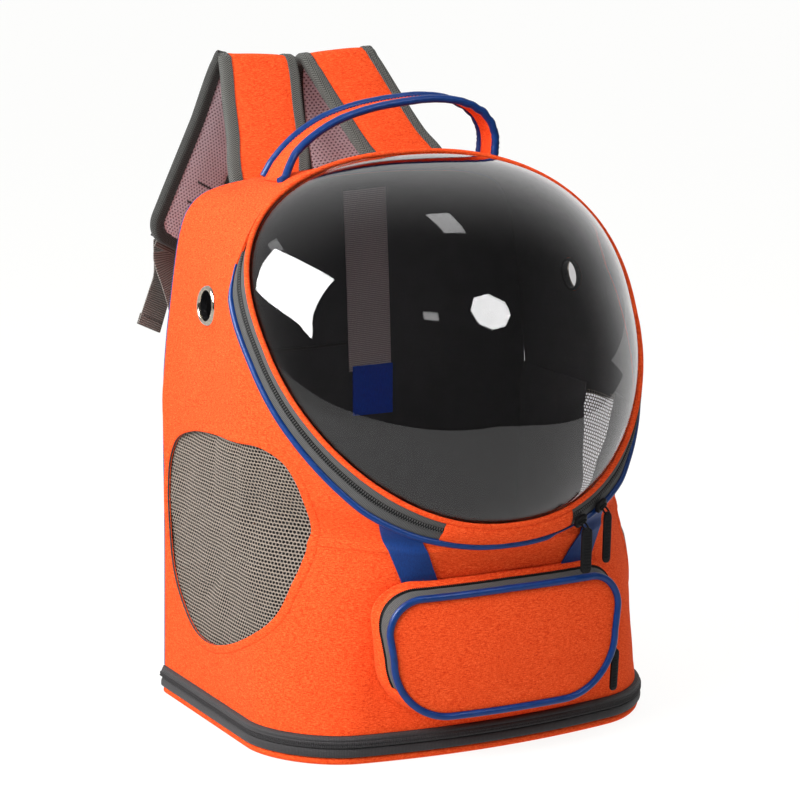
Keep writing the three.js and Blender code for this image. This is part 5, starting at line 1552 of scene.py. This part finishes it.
# ------------------------------------------------------------------ blue tabs
TAB = dict(lowIn=(52, 139.0), lowOut=(80, 140.0), topIn=(71, 177.0), topOut=(100.5, 190.0))
for name, side in (("left", 1), ("right", -1)):
    NU, NV = 26, 14
    def tab_grid(lift, grow=0.0):
        G = np.zeros((NU, NV, 3))
        for i in range(NU):
            for j in range(NV):
                v, u = i / (NU - 1), -grow + (1 + 2 * grow) * j / (NV - 1)
                lo = np.array(TAB["lowIn"]) * (1 - u) + np.array(TAB["lowOut"]) * u
                hi = np.array(TAB["topIn"]) * (1 - u) + np.array(TAB["topOut"]) * u
                x, z = lo * (1 - v) + hi * v
                p, n = on_front(x, z, side)
                G[i, j] = p + np.array([0, -lift, 0]) + np.array([0, -0.35 * math.sin(math.pi * j / (NV - 1)), 0])
        return G
    B = Build()
    f, k = tab_grid(2.3), tab_grid(1.0)
    if side == -1:
        f, k = f * np.array([-1, 1, 1]), k * np.array([-1, 1, 1])
    bo = B.grid(f, 0)
    bi = B.grid(k, 0, flip=True)
    I = lambda b0, i, j: b0 + i * NV + j
    F = []
    for i in range(NU - 1):
        F.append((I(bo, i, 0), I(bi, i, 0), I(bi, i + 1, 0), I(bo, i + 1, 0)))
        F.append((I(bo, i + 1, NV - 1), I(bi, i + 1, NV - 1), I(bi, i, NV - 1), I(bo, i, NV - 1)))
    for j in range(NV - 1):
        F.append((I(bo, 0, j + 1), I(bi, 0, j + 1), I(bi, 0, j), I(bo, 0, j)))
        F.append((I(bo, NU - 1, j), I(bi, NU - 1, j), I(bi, NU - 1, j + 1), I(bo, NU - 1, j + 1)))
    B.faces(F, 0)
    o = B.object("tab_%s_tape" % name, [M["blue_tape"]], "blue_tape", ["tab_" + name], sharp=50)
    bm = bmesh.new(); bm.from_mesh(o.data); bmesh.ops.recalc_face_normals(bm, faces=bm.faces); bm.to_mesh(o.data); bm.free()

# ------------------------------------------------------------------ pocket
def pocket_outline(grow, flare, n):
    w = PK["halfW"] + grow + flare * PK["flareSide"]
    zt, zb = PK["zTop"] + grow + flare * PK["flareTop"], PK["zBot"] - grow - flare * 2
    rt, rb = PK["rTop"] + grow, PK["rBot"] + grow
    a = np.linspace(0, math.pi / 2, 25)
    P = np.vstack([[[0, zb]], np.stack([-(w - 3 - rb) - rb * np.sin(a), zb + rb - rb * np.cos(a)], -1),
                   np.stack([-(w - rt) - rt * np.cos(a), zt - rt + rt * np.sin(a)], -1), [[0, zt + 1]]])
    h = n // 2
    left = resample(P, h + 1)
    return np.vstack([left, left[1:-1][::-1] * np.array([-1, 1])])


def face_y(x, z):
    return PK["faceY"] - PK["faceBow"] * (1 - (x / PK["halfW"]) ** 2) - 2.5 * np.sin(math.pi * np.clip((z - 38) / 95, 0, 1))


PN = 216


def gusset(depth, grow):
    """Points round the pocket at a share of its depth: 0 on the wall, 1 at the face."""
    f, w = pocket_outline(grow, 0, PN), pocket_outline(grow, 1, PN)
    out = np.zeros((PN, 3))
    for i in range(PN):
        yw = front_y(w[i, 0], w[i, 1]) - 0.3
        yf = float(face_y(f[i, 0], f[i, 1])) + PIPING_R + GAP
        dd = float(depth[i]) if np.ndim(depth) else float(depth)
        out[i] = (w[i, 0] + (f[i, 0] - w[i, 0]) * dd, yw + (yf - yw) * dd, w[i, 1] + (f[i, 1] - w[i, 1]) * dd)
    return out


K = np.minimum(np.arange(PN), PN - np.arange(PN)) / (PN / 36)
zipness = sstep(6.4, 7.0, K)
# the zipper strip narrows towards its two ends
taper = 0.5 + 0.5 * sstep(7.0, 12.0, K)
g_end = 0.99 - 0.55 * zipness * taper
steps = np.linspace(0, 1, 15)
def puff_rows(grow, bulge):
    rows = []
    G0 = [gusset(g_end * t, grow) for t in steps]
    outl = pocket_outline(0, 0, PN)
    T = tangents(outl, True)
    O = np.stack([T[:, 1], -T[:, 0]], -1)
    s = np.sign((O * (outl - np.array([0, 85]))).sum(1))
    O *= s[:, None]
    for t, G in zip(steps, G0):
        G = G.copy()
        for i in range(PN):
            b = bulge * math.sin(math.pi * t) * (0.8 + 0.6 * soft(G[i, 0], 0, G[i, 2], 24, 8))
            if outl[i, 0] < 0:
                # one soft crease where the cloth turns the upper left corner
                b += 1.7 * math.exp(-((K[i] - 11.6) / 1.9) ** 2) * (math.exp(-((t - 0.34) / 0.12) ** 2) - 0.75 * math.exp(-((t - 0.62) / 0.13) ** 2))
            G[i, 0] += O[i, 0] * b
            G[i, 2] += O[i, 1] * b
        rows.append(G)
    return np.array(rows)
B = Build()
ro, ri = puff_rows(0.0, 1.5), puff_rows(-CLOTH, 1.2)
bo = B.grid(ro, 0, wv=True)
bi = B.grid(ri, 1, wv=True, flip=True)
ns = len(steps)
B.faces([(bo + j, bo + (j + 1) % PN, bi + (j + 1) % PN, bi + j) for j in range(PN)], 0)
B.faces([(bo + (ns - 1) * PN + (j + 1) % PN, bo + (ns - 1) * PN + j, bi + (ns - 1) * PN + j, bi + (ns - 1) * PN + (j + 1) % PN) for j in range(PN)], 0)
o = B.object("pocket_gusset_cloth", [M["cloth"], M["lining"]], "orange_cloth", ["pocket_gusset"], sharp=50)
bm = bmesh.new(); bm.from_mesh(o.data); bmesh.ops.recalc_face_normals(bm, faces=bm.faces); bm.to_mesh(o.data); bm.free()

# zipper strip over the top and down both sides of the pocket
B = Build()
idx = [i for i in range(PN) if K[i] >= 6.9]
prof = [(0.44, 0.0), (0.455, 0.15), (0.47, 0.1), (0.49, 0.6), (0.52, 0.85), (0.535, 0.5), (0.55, 0.85), (0.58, 0.6), (0.60, 0.1), (0.63, 0.2), (0.8, 0.22), (0.95, 0.15), (0.985, 0.0), (0.985, -1.5), (0.44, -1.5)]
rows_p = []
for t, h in prof:
    rows_p.append(gusset(0.985 - (0.985 - t) * taper, h)[idx])
P = np.array(rows_p).transpose(1, 0, 2)
m = len(prof)
L = arclen(P[:, 0])
pv = np.cumsum([0] + [math.hypot((prof[(i + 1) % m][0] - prof[i][0]) * 20, prof[(i + 1) % m][1] - prof[i][1]) for i in range(m)])
base = B.grid(P, 0, wv=True, uv=(np.repeat(L[:, None], m + 1, 1), np.repeat(pv[None], len(L), 0)))
for i in range(len(idx) - 1):
    for j in range(m):
        t0 = 0.5 * (prof[j][0] + prof[(j + 1) % m][0])
        if 0.475 < t0 < 0.595 and j < 8:
            B.m[i * m + j] = 1
B.cap([base + j for j in range(m)], 0)
B.cap([base + (len(idx) - 1) * m + j for j in range(m)], 0, flip=True)
c0, c1 = (gusset(0.985 - (0.985 - t) * taper, 0.8)[idx] for t in (0.515, 0.555))
for line, ph0 in ((c0, 0.0), (c1, 0.8)):
    Ls = arclen(line)
    cc = np.array([0, 0, 85.0])
    for q in np.arange(1.0 + ph0, Ls[-1] - 1, 1.6):
        p, p2 = at(line, np.array([q, q + 0.4]), Ls)
        t = unit(p2 - p)
        yy = unit(np.array([0, -1.0, 0]) - t * t.dot([0, -1.0, 0]))
        nn = np.cross(t, yy)
        if nn.dot(p - np.array([0, p[1], 85])) < 0:
            nn = -nn
        B.box(p, t, yy, nn, (0.5, 0.55, 0.45), 1, 0.6, bottom=False)
o = B.object("pocket_zip_tape", [M["zip_tape"], M["coil"]], "zip_tape", ["pocket_zip"], sharp=50)

B = Build()
ol = pocket_outline(-PIPING_R * 0.6, 0, PN)
line = np.stack([ol[:, 0], face_y(ol[:, 0], ol[:, 1]), ol[:, 1]], -1)
line[:, 1] += np.array([0.25 * soft(p[0], 0, p[2], 20, 12) for p in line])
B.tube(line, PIPING_R + 0.75, 14, loop=True)
B.object("pocket_piping_cord", [M["piping"]], "blue_piping", ["pocket_piping"])

B = Build()
rim = pocket_outline(-PIPING_R * 1.6 - GAP + 0.9, 0, PN)
pole = np.array([0, (PK["zTop"] + PK["zBot"]) / 2])
ts = [1.0, 0.985, 0.96, 0.92, 0.86, 0.78, 0.68, 0.56, 0.42, 0.28, 0.14]
def face_rows(drop, sign):
    out = []
    for t in ts:
        q = pole + (rim - pole) * t
        y = face_y(q[:, 0], q[:, 1]) + drop
        edge = 1.2 * np.exp(-(1 - t) / 0.035)
        y = y + edge + np.array([0.55 * soft(a, 0, b, 42, 13) * (1 - t) ** 0.5 - 0.7 * (1 - t**2) for a, b in q])
        out.append(np.stack([q[:, 0], y, q[:, 1]], -1))
    return np.array(out)
fo, fi = face_rows(-0.2, 1), face_rows(CLOTH - 0.2, 1)
bo, bi = B.grid(fo, 0, wv=True), B.grid(fi, 1, wv=True, flip=True)
n = PN
co, ci = B.points(fo[-1].mean(0)), B.points(fi[-1].mean(0))
l0 = (len(ts) - 1) * n
B.faces([(bo + l0 + j, co, bo + l0 + (j + 1) % n) for j in range(n)], 0)
B.faces([(bi + l0 + (j + 1) % n, ci, bi + l0 + j) for j in range(n)], 1)
B.faces([(bo + j, bo + (j + 1) % n, bi + (j + 1) % n, bi + j) for j in range(n)], 0)
o = B.object("pocket_face_cloth", [M["cloth"], M["lining"]], "orange_cloth", ["pocket_face"], sharp=50)
bm = bmesh.new(); bm.from_mesh(o.data); bmesh.ops.recalc_face_normals(bm, faces=bm.faces); bm.to_mesh(o.data); bm.free()

lo_c, hi_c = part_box("pocket_slider")
pc = (np.array(lo_c) + np.array(hi_c)) / 2 / MM
B = Build()
rounded_block(B, pc - np.array([0.3, 0, 0]), np.array([0, 0, 1.0]), np.array([0, 1.0, 0]), np.array([1.0, 0, 0]), (12.0, 8.2, 3.6))
rounded_block(B, pc + np.array([1.4, 0, 0]), np.array([0, 0, 1.0]), np.array([0, 1.0, 0]), np.array([1.0, 0, 0]), (7.5, 3.0, 2.4), 0.6)
B.object("pocket_slider_body", [M["black"]], "black_plastic", ["pocket_slider"], sharp=60)
lo_c, hi_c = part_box("pocket_pull")
lo_c, hi_c = np.array(lo_c) / MM, np.array(hi_c) / MM
top = np.array([(lo_c[0] + hi_c[0]) / 2, lo_c[1] + 1.7, hi_c[2]])
B = Build()
ring = []
for t in np.linspace(0, 2 * math.pi, 20, endpoint=False):
    mid = top + np.array([-0.9, 0.2, 2.4])
    ring.append(mid + np.array([0.25, 0.1, -0.95]) * math.cos(t) * 4.4 + np.array([0, 1.0, 0]) * math.sin(t) * 1.7)
B.tube(np.array(ring), 0.7, 8, loop=True)
pull_mesh(B, top, (0, 3.0), hi_c[2] - lo_c[2], 6.6, 3.2, np.array([0.12, -1.0, 0]))
B.object("pocket_pull_grip", [M["black"]], "black_plastic", ["pocket_pull"], sharp=60)

# ------------------------------------------------------------------ carry handle
HP = spline(np.stack([HANDLE_LINE[:, 0], np.full(len(HANDLE_LINE), HANDLE_Y), HANDLE_LINE[:, 1]], -1), 120)


def seat(P):
    P = np.array(P, float)
    w = np.clip((430 - P[..., 2]) / 9.0, 0, 1)
    P[..., 2] -= w * (0.126 * (P[..., 1] - 57) + 0.6)
    return P


def foot_slant(P):
    """The left foot of the handle is sewn on at a slant: its front edge lies further down the top panel."""
    P = np.array(P, float)
    w = sstep(441, 421, P[..., 2]) * np.clip((76 - P[..., 1]) / 23, 0, 1) * (P[..., 0] < 0)
    P += w[..., None] * np.array([-4.5, -14.0, -9.0])
    flat, wf = P.reshape(-1, 3), w.reshape(-1)
    for q in np.nonzero(wf > 0.02)[0]:
        hit = TREES[1].ray_cast(Vector((flat[q, 0], flat[q, 1], 600)), Vector((0, 0, -1)))[0]
        if hit is not None:
            flat[q, 2] = max(flat[q, 2], hit.z + 0.9)
    return flat.reshape(P.shape)


def ribbon_rings(P, W, width, thick, crown=0.0, edge=0.5, n=8):
    """Rounded flat section along a path; W is the direction across."""
    T = tangents(P)
    W = unit(W - (W * T).sum(1)[:, None] * T)
    N = np.cross(T, W)
    sec = []
    for k in range(n + 1):
        x = -1 + 2 * k / n
        sec.append((x, 0.5 + crown * (1 - x * x)))
    prof = [(x * width / 2, h * thick) for x, h in sec] + [(x * width / 2, -0.5 * thick) for x, _ in sec[::-1]]
    prof[0] = (prof[0][0], prof[0][1] * edge)
    prof[n] = (prof[n][0], prof[n][1] * edge)
    prof[n + 1] = (prof[n + 1][0], prof[n + 1][1] * edge)
    prof[-1] = (prof[-1][0], prof[-1][1] * edge)
    R = np.array([[P[i] + W[i] * a + N[i] * b for a, b in prof] for i in range(len(P))])
    L = arclen(P)
    pv = np.array([a for a, _ in prof] + [prof[0][0]])
    return R, (np.repeat(L[:, None], len(prof) + 1, 1), np.repeat(pv[None], len(L), 0)), prof


B = Build()
R, uv, _ = ribbon_rings(HP - np.array([0, 0, 0.9]), np.repeat([[0, 1.0, 0]], len(HP), 0), HANDLE_W + 1.6, 2.6, 0.0)
for i in range(len(HP)):
    s = i / len(HP)
    R[i] += np.array([0, 0, 0.5]) * soft(HP[i, 0], 0, 0, 22, 14)
B.loft(foot_slant(seat(R)), 0, uv=uv)
B.object("handle_strap_cloth", [M["cloth"]], "orange_cloth", ["handle_strap"], sharp=60)
for name, s in (("front", -1), ("back", 1)):
    B = Build()
    P = HP + np.array([0, s * (HANDLE_W / 2 + 2.6 + GAP - 0.4), 0.6])
    Lh = arclen(P)
    rr = np.array([3.15 + 0.18 * soft(p[0], p[1], p[2], 7, 15 + s) + 0.30 * sstep(60, 88, p[0]) * math.sin(p[2] * 1.5 + p[0] * 1.1) * 0.6 for p in P])
    for i in range(len(P)):
        k = sstep(55, 85, P[i, 0])
        P[i, 2] += 0.5 * k * math.sin(Lh[i] * 0.55 + s)
    B.tube(foot_slant(seat(P)), rr, 14)
    B.object("handle_piping_%s_cord" % name, [M["piping"]], "blue_piping", ["handle_piping_" + name])

# ------------------------------------------------------------------ shoulder straps
LOCK_H, LOCK_T = 26.0, 4.0


def strap_set(name, line, web_line, tail_line, turn):
    """Pad, binding, webbing and tail of one strap, written on the left and turned to its side."""
    line = np.array(line, float)
    SC = spline(line[:, :3], 400)
    SCL = arclen(SC)
    SL, rows_l = SCL[-1], arclen(line[:, :3])

    def frame_at(s):
        s = np.atleast_1d(np.asarray(s, float))
        p = at(SC, s, SCL)
        T = unit(at(SC, np.minimum(s + 1.5, SL), SCL) - at(SC, np.maximum(s - 1.5, 0), SCL))
        q = s / SL * rows_l[-1]
        W = np.stack([np.interp(q, rows_l, line[:, 3 + k]) for k in range(3)], -1)
        W = unit(W - (W * T).sum(1)[:, None] * T)
        return p, T, W, np.cross(T, W)

    def strap_at(s, t, h):
        p, T, W, N = frame_at(s)
        return p + W * np.atleast_1d(t)[:, None] + N * np.atleast_1d(h)[:, None]

    # pad: cloth on the outer face, air mesh on the face towards the wearer
    pad = Build()
    core_half, core_end, core_r = STRAP_W / 2 - BIND_W + 1.2, SL - BIND_W + 1.0, STRAP_END_R - BIND_W + 1.0
    st = np.concatenate([np.linspace(0, core_end - core_r, 120, endpoint=False), core_end - core_r + core_r * np.sin(np.linspace(0, 1, 9) * math.pi / 2)])
    NX = 26
    face = {1: [], -1: []}
    for s in st:
        k = max(0.0, s - (core_end - core_r))
        w = core_half - (core_r - math.sqrt(max(0.0, core_r * core_r - k * k)))
        x = np.linspace(-1, 1, NX)
        for sg in (1, -1):
            crown = STRAP_T / 2 * (0.80 + 0.36 * (1 - np.abs(x) ** 3.0))
            ripple = np.array([0.30 * soft(s, xx * w, sg * 9.0, 22, 17) + 0.22 * soft(s, xx * w * 0.4, sg * 5.0, 9, 19) for xx in x]) * (1 - x**4)
            face[sg].append(strap_at(np.full(NX, s), x * w, sg * (crown + ripple)))
    A, Bk = np.array(face[1]), np.array(face[-1])
    uu = np.repeat(st[:, None], NX, 1)
    vv = np.repeat((np.linspace(-1, 1, NX) * core_half)[None], len(st), 0)
    ba = pad.grid(A, 1, uv=(uu, vv))
    bb = pad.grid(Bk, 0, flip=True, uv=(uu, vv))
    n = len(st)
    I = lambda b0, i, j: b0 + i * NX + j
    F = []
    for i in range(n - 1):
        F.append((I(ba, i, 0), I(bb, i, 0), I(bb, i + 1, 0), I(ba, i + 1, 0))[::-1])
        F.append((I(ba, i + 1, NX - 1), I(bb, i + 1, NX - 1), I(bb, i, NX - 1), I(ba, i, NX - 1))[::-1])
    for j in range(NX - 1):
        F.append((I(ba, 0, j + 1), I(bb, 0, j + 1), I(bb, 0, j), I(ba, 0, j))[::-1])
        F.append((I(ba, n - 1, j), I(bb, n - 1, j), I(bb, n - 1, j + 1), I(ba, n - 1, j + 1))[::-1])
    pad.faces(F, 0)
    # bar tacks through the air mesh near the lower end
    for s0, x0, x1 in ((SL - 58, -6, 14), (SL - 40, -9, 8)):
        xs = np.linspace(x0, x1, 9)
        q = strap_at(np.full(9, s0), xs, np.full(9, STRAP_T / 2 * 1.15))
        _, _, _, N = frame_at(np.array([s0]))
        for a, b in zip(q[:-1], q[1:]):
            pad.capsule(a, b, N[0], 0.9, 2, 8)

    # binding: folded tape down one edge, round the end and up the other edge
    bind = Build()
    route = [(s, STRAP_W / 2, 0.0, 1.0) for s in np.linspace(0, SL - STRAP_END_R, 120, endpoint=False)]
    for a in np.linspace(0, math.pi / 2, 14):
        route.append((SL - STRAP_END_R + STRAP_END_R * math.sin(a), STRAP_W / 2 - STRAP_END_R * (1 - math.cos(a)), math.sin(a), math.cos(a)))
    arr = np.array(route + [(s, -t, ns, -nt) for s, t, ns, nt in route[::-1]])
    hb = BIND_T / 2
    sec = [(BIND_W, -hb + 0.55), (BIND_W - 0.1, -hb + 0.1), (7.0, -hb), (4.0, -hb + 0.02), (2.0, -hb + 0.25), (0.8, -hb + 1.0), (0.2, -hb + 2.3), (0.0, 0.0),
           (0.2, hb - 2.3), (0.8, hb - 1.0), (2.0, hb - 0.25), (4.0, hb - 0.02), (7.0, hb), (BIND_W - 0.1, hb - 0.1), (BIND_W, hb - 0.55)]
    R = np.zeros((len(arr), len(sec), 3))
    for k, (d, h) in enumerate(sec):
        R[:, k] = strap_at(arr[:, 0] - arr[:, 2] * d, arr[:, 1] - arr[:, 3] * d, np.full(len(arr), h))
    Lr = arclen(R[:, 7])
    pv = arclen(np.array([[a, b, 0] for a, b in sec + sec[:1]]))
    bind.loft(R, 0, uv=(np.repeat(Lr[:, None], len(sec) + 1, 1), np.repeat(pv[None], len(Lr), 0)))
    # past the top bend the binding takes its darker copy: painted shade on the hanging part of the strap
    bend = SCL[int(SC[:, 2].argmax())] + 5
    for i in range(len(arr) - 1):
        if arr[i, 0] > bend:
            bind.m[i * len(sec):(i + 1) * len(sec)] = [2] * len(sec)
    # stitch rows through the binding, both faces
    for sg in (1, -1):
        P = strap_at(arr[:, 0] - arr[:, 2] * (BIND_W - 1.5), arr[:, 1] - arr[:, 3] * (BIND_W - 1.5), np.full(len(arr), sg * (hb + 0.02)))
        _, _, _, N = frame_at(arr[:, 0])
        Ls = arclen(P)
        for d in np.arange(2.0, Ls[-1] - 3, 3.4):
            a, b = at(P, np.array([d, d + 2.2]), Ls)
            nn = unit(at(N, np.array([d + 1]), Ls)[0]) * sg
            bind.capsule(a, b, nn, 0.3, 1, 6)

    # webbing from the ladder-lock to the base, and the loose tail with its hem
    ep, eT, eW, eN = (v[0] for v in frame_at(np.array([SL - 2])))
    out = 1.0 if eN[1] > 0 else -1.0
    lock_c = ep - eT * 14 - eW * 1 + eN * out * (BIND_T / 2 + GAP + LOCK_T / 2 + 0.3)
    foot = lock_c + eT * (LOCK_H / 2 + 7.0)
    WP = spline(np.vstack([foot, foot + np.array([0, -0.5, -9.0]), web_line]), 160)
    wk = np.clip(np.arange(len(WP)) / len(WP) * 16 / 6 - 1 / 6, 0, 1)[:, None]
    web = Build()
    R, uv, _ = ribbon_rings(WP, eW * (1 - wk) + np.array([1.0, 0, 0]) * wk, WEB_W, WEB_T, 0.05, 0.6)
    web.loft(R, 0, uv=uv)
    # turn of the webbing round the lowest bar of the lock
    HB = np.array([foot - eT * d + eN * h for d, h in ((0.5, 0.0), (4.0, -0.3), (6.8, -1.6), (8.0, -2.6), (9.6, -2.9), (11.0, -2.6))])
    R, uv, _ = ribbon_rings(HB, np.repeat([eW], len(HB), 0), WEB_W, WEB_T, 0.0, 0.6)
    web.loft(R, 0, uv=uv)
    top = lock_c + eT * 8 + eN * out * (LOCK_T / 2 + GAP + WEB_T / 2 + 2.0)
    TP = spline(np.vstack([top, tail_line]), 70)
    tk = np.linspace(0, 1, len(TP))[:, None]
    tail = Build()
    W = eW * (1 - tk) + np.array([0.95, 0.25, -0.15]) * tk
    R, uv, _ = ribbon_rings(TP, W, WEB_W, WEB_T, 0.05, 0.6)
    Tn = tangents(TP)
    Wn = unit(W - (W * Tn).sum(1)[:, None] * Tn)
    Nn = np.cross(Tn, Wn)
    tail.loft(R, 0, uv=uv)
    H0 = len(TP) - 9
    R2, uv2, _ = ribbon_rings(TP[H0:] - Nn[H0:] * 1.55, W[H0:], WEB_W, WEB_T, 0.05, 0.6)
    tail.loft(R2, 0, uv=uv2)
    for sgn in (1, -1):
        a0 = TP[H0 + 1] + Nn[H0 + 1] * sgn * (1.0 if sgn > 0 else 2.45)
        for q in np.linspace(-WEB_W / 2 + 2, WEB_W / 2 - 3, 8):
            tail.capsule(a0 + Wn[H0 + 1] * q, a0 + Wn[H0 + 1] * (q + 1.9), Nn[H0 + 1] * sgn, 0.4, 1)

    o = turn(pad).object("strap_pad_%s_soft" % name, [M["cloth"], M["air"], M["stitch_dark"]], "orange_cloth", ["strap_pad_" + name], sharp=60)
    outside(o)
    outside(turn(bind).object("strap_binding_%s_tape" % name, [M["binding"], M["stitch_dark"], M["binding_far"]], "zip_tape", ["strap_binding_" + name], sharp=60))
    outside(turn(web).object("strap_web_%s_tape" % name, [M["webbing"]], "webbing", ["strap_web_" + name], sharp=60))
    outside(turn(tail).object("strap_tail_%s_tape" % name, [M["webbing"], M["stitch_dark"]], "webbing", ["strap_tail_" + name], sharp=60))


def outside(o):
    """Turn every face of a closed mesh outwards."""
    b = bmesh.new()
    b.from_mesh(o.data)
    bmesh.ops.recalc_face_normals(b, faces=b.faces)
    b.to_mesh(o.data)
    b.free()
    return o


strap_set("left", STRAP_RISE + LEFT_HANG, LEFT_WEB, LEFT_TAIL, lambda b: b)
strap_set("right", STRAP_RISE + RIGHT_HANG, RIGHT_WEB, RIGHT_TAIL, lambda b: b.mirrored())

# ladder-locks keep their moulded shape
for name in ("ladder_lock_left", "ladder_lock_right"):
    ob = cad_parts[name]
    ob.data.materials.clear()
    ob.data.materials.append(M["black"])
    bv = ob.modifiers.new("soft_edges", "BEVEL")
    bv.width, bv.segments, bv.limit_method = 0.0009, 3, "ANGLE"

# ------------------------------------------------------------------ inner strap on the back wall
inner_y = BACK_Y - BACK_T - GAP - WEB_T / 2
P = np.stack([np.linspace(INNER_X - 3.0, INNER_X + 2.5, 60), np.full(60, inner_y), np.linspace(INNER_TOP, INNER_SPLIT - 4, 60)], -1)
P[:, 1] -= 1.2 * np.sin(np.linspace(0, math.pi, 60))
R, uv, _ = ribbon_rings(P, np.repeat([[1.0, 0, 0]], 60, 0), INNER_W, WEB_T, 0.05, 0.6)
B = Build()
B.loft(R, 0, uv=uv)
B.object("inner_strap_tape", [M["inner_web"]], "webbing", ["inner_strap"], sharp=60)
P = np.stack([np.full(24, INNER_X + 4), np.full(24, inner_y - 1.7), np.linspace(INNER_SPLIT, INNER_BOT, 24)], -1)
R, uv, _ = ribbon_rings(P, np.repeat([[1.0, 0, 0]], 24, 0), INNER_W - 2, WEB_T, 0.05, 0.6)
B = Build()
B.loft(R, 0, uv=uv)
B.object("inner_strap_tab_tape", [M["inner_blue"]], "blue_tape", ["inner_strap_tab"], sharp=60)

# ------------------------------------------------------------------ more stitching
# along the handle, inside both pipings
for s in (-1, 1):
    T = tangents(HP)
    N = np.cross(T, np.array([0, 1.0, 0]))
    N *= np.sign(N[:, 2:3] + 1e-9)
    P = HP + np.array([0, s * (HANDLE_W / 2 - 2.0), -0.9]) + N * 1.4
    stitch_run("cloth", foot_slant(seat(P)), N, 3.0, 0.66, 0.28)
# points round the pocket face, inside the piping; no stitches are laid on them
ol = pocket_outline(-PIPING_R * 1.6 - 3.2, 0, PN)
P = np.stack([ol[:, 0], face_y(ol[:, 0], ol[:, 1]) - 0.25, ol[:, 1]], -1)
for key, b in STITCH.items():
    if b.n:
        mk = {"cloth": M["stitch"], "dark": M["stitch_dark"]}[key]
        o = b.object("stitches_" + key, [mk], "orange_cloth", sharp=None)

# ------------------------------------------------------------------ close
box = lambda bb: [[float(v) for v in c] for c in bb]

{"cad": box(CAD_BOX), "visual": box(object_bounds())}
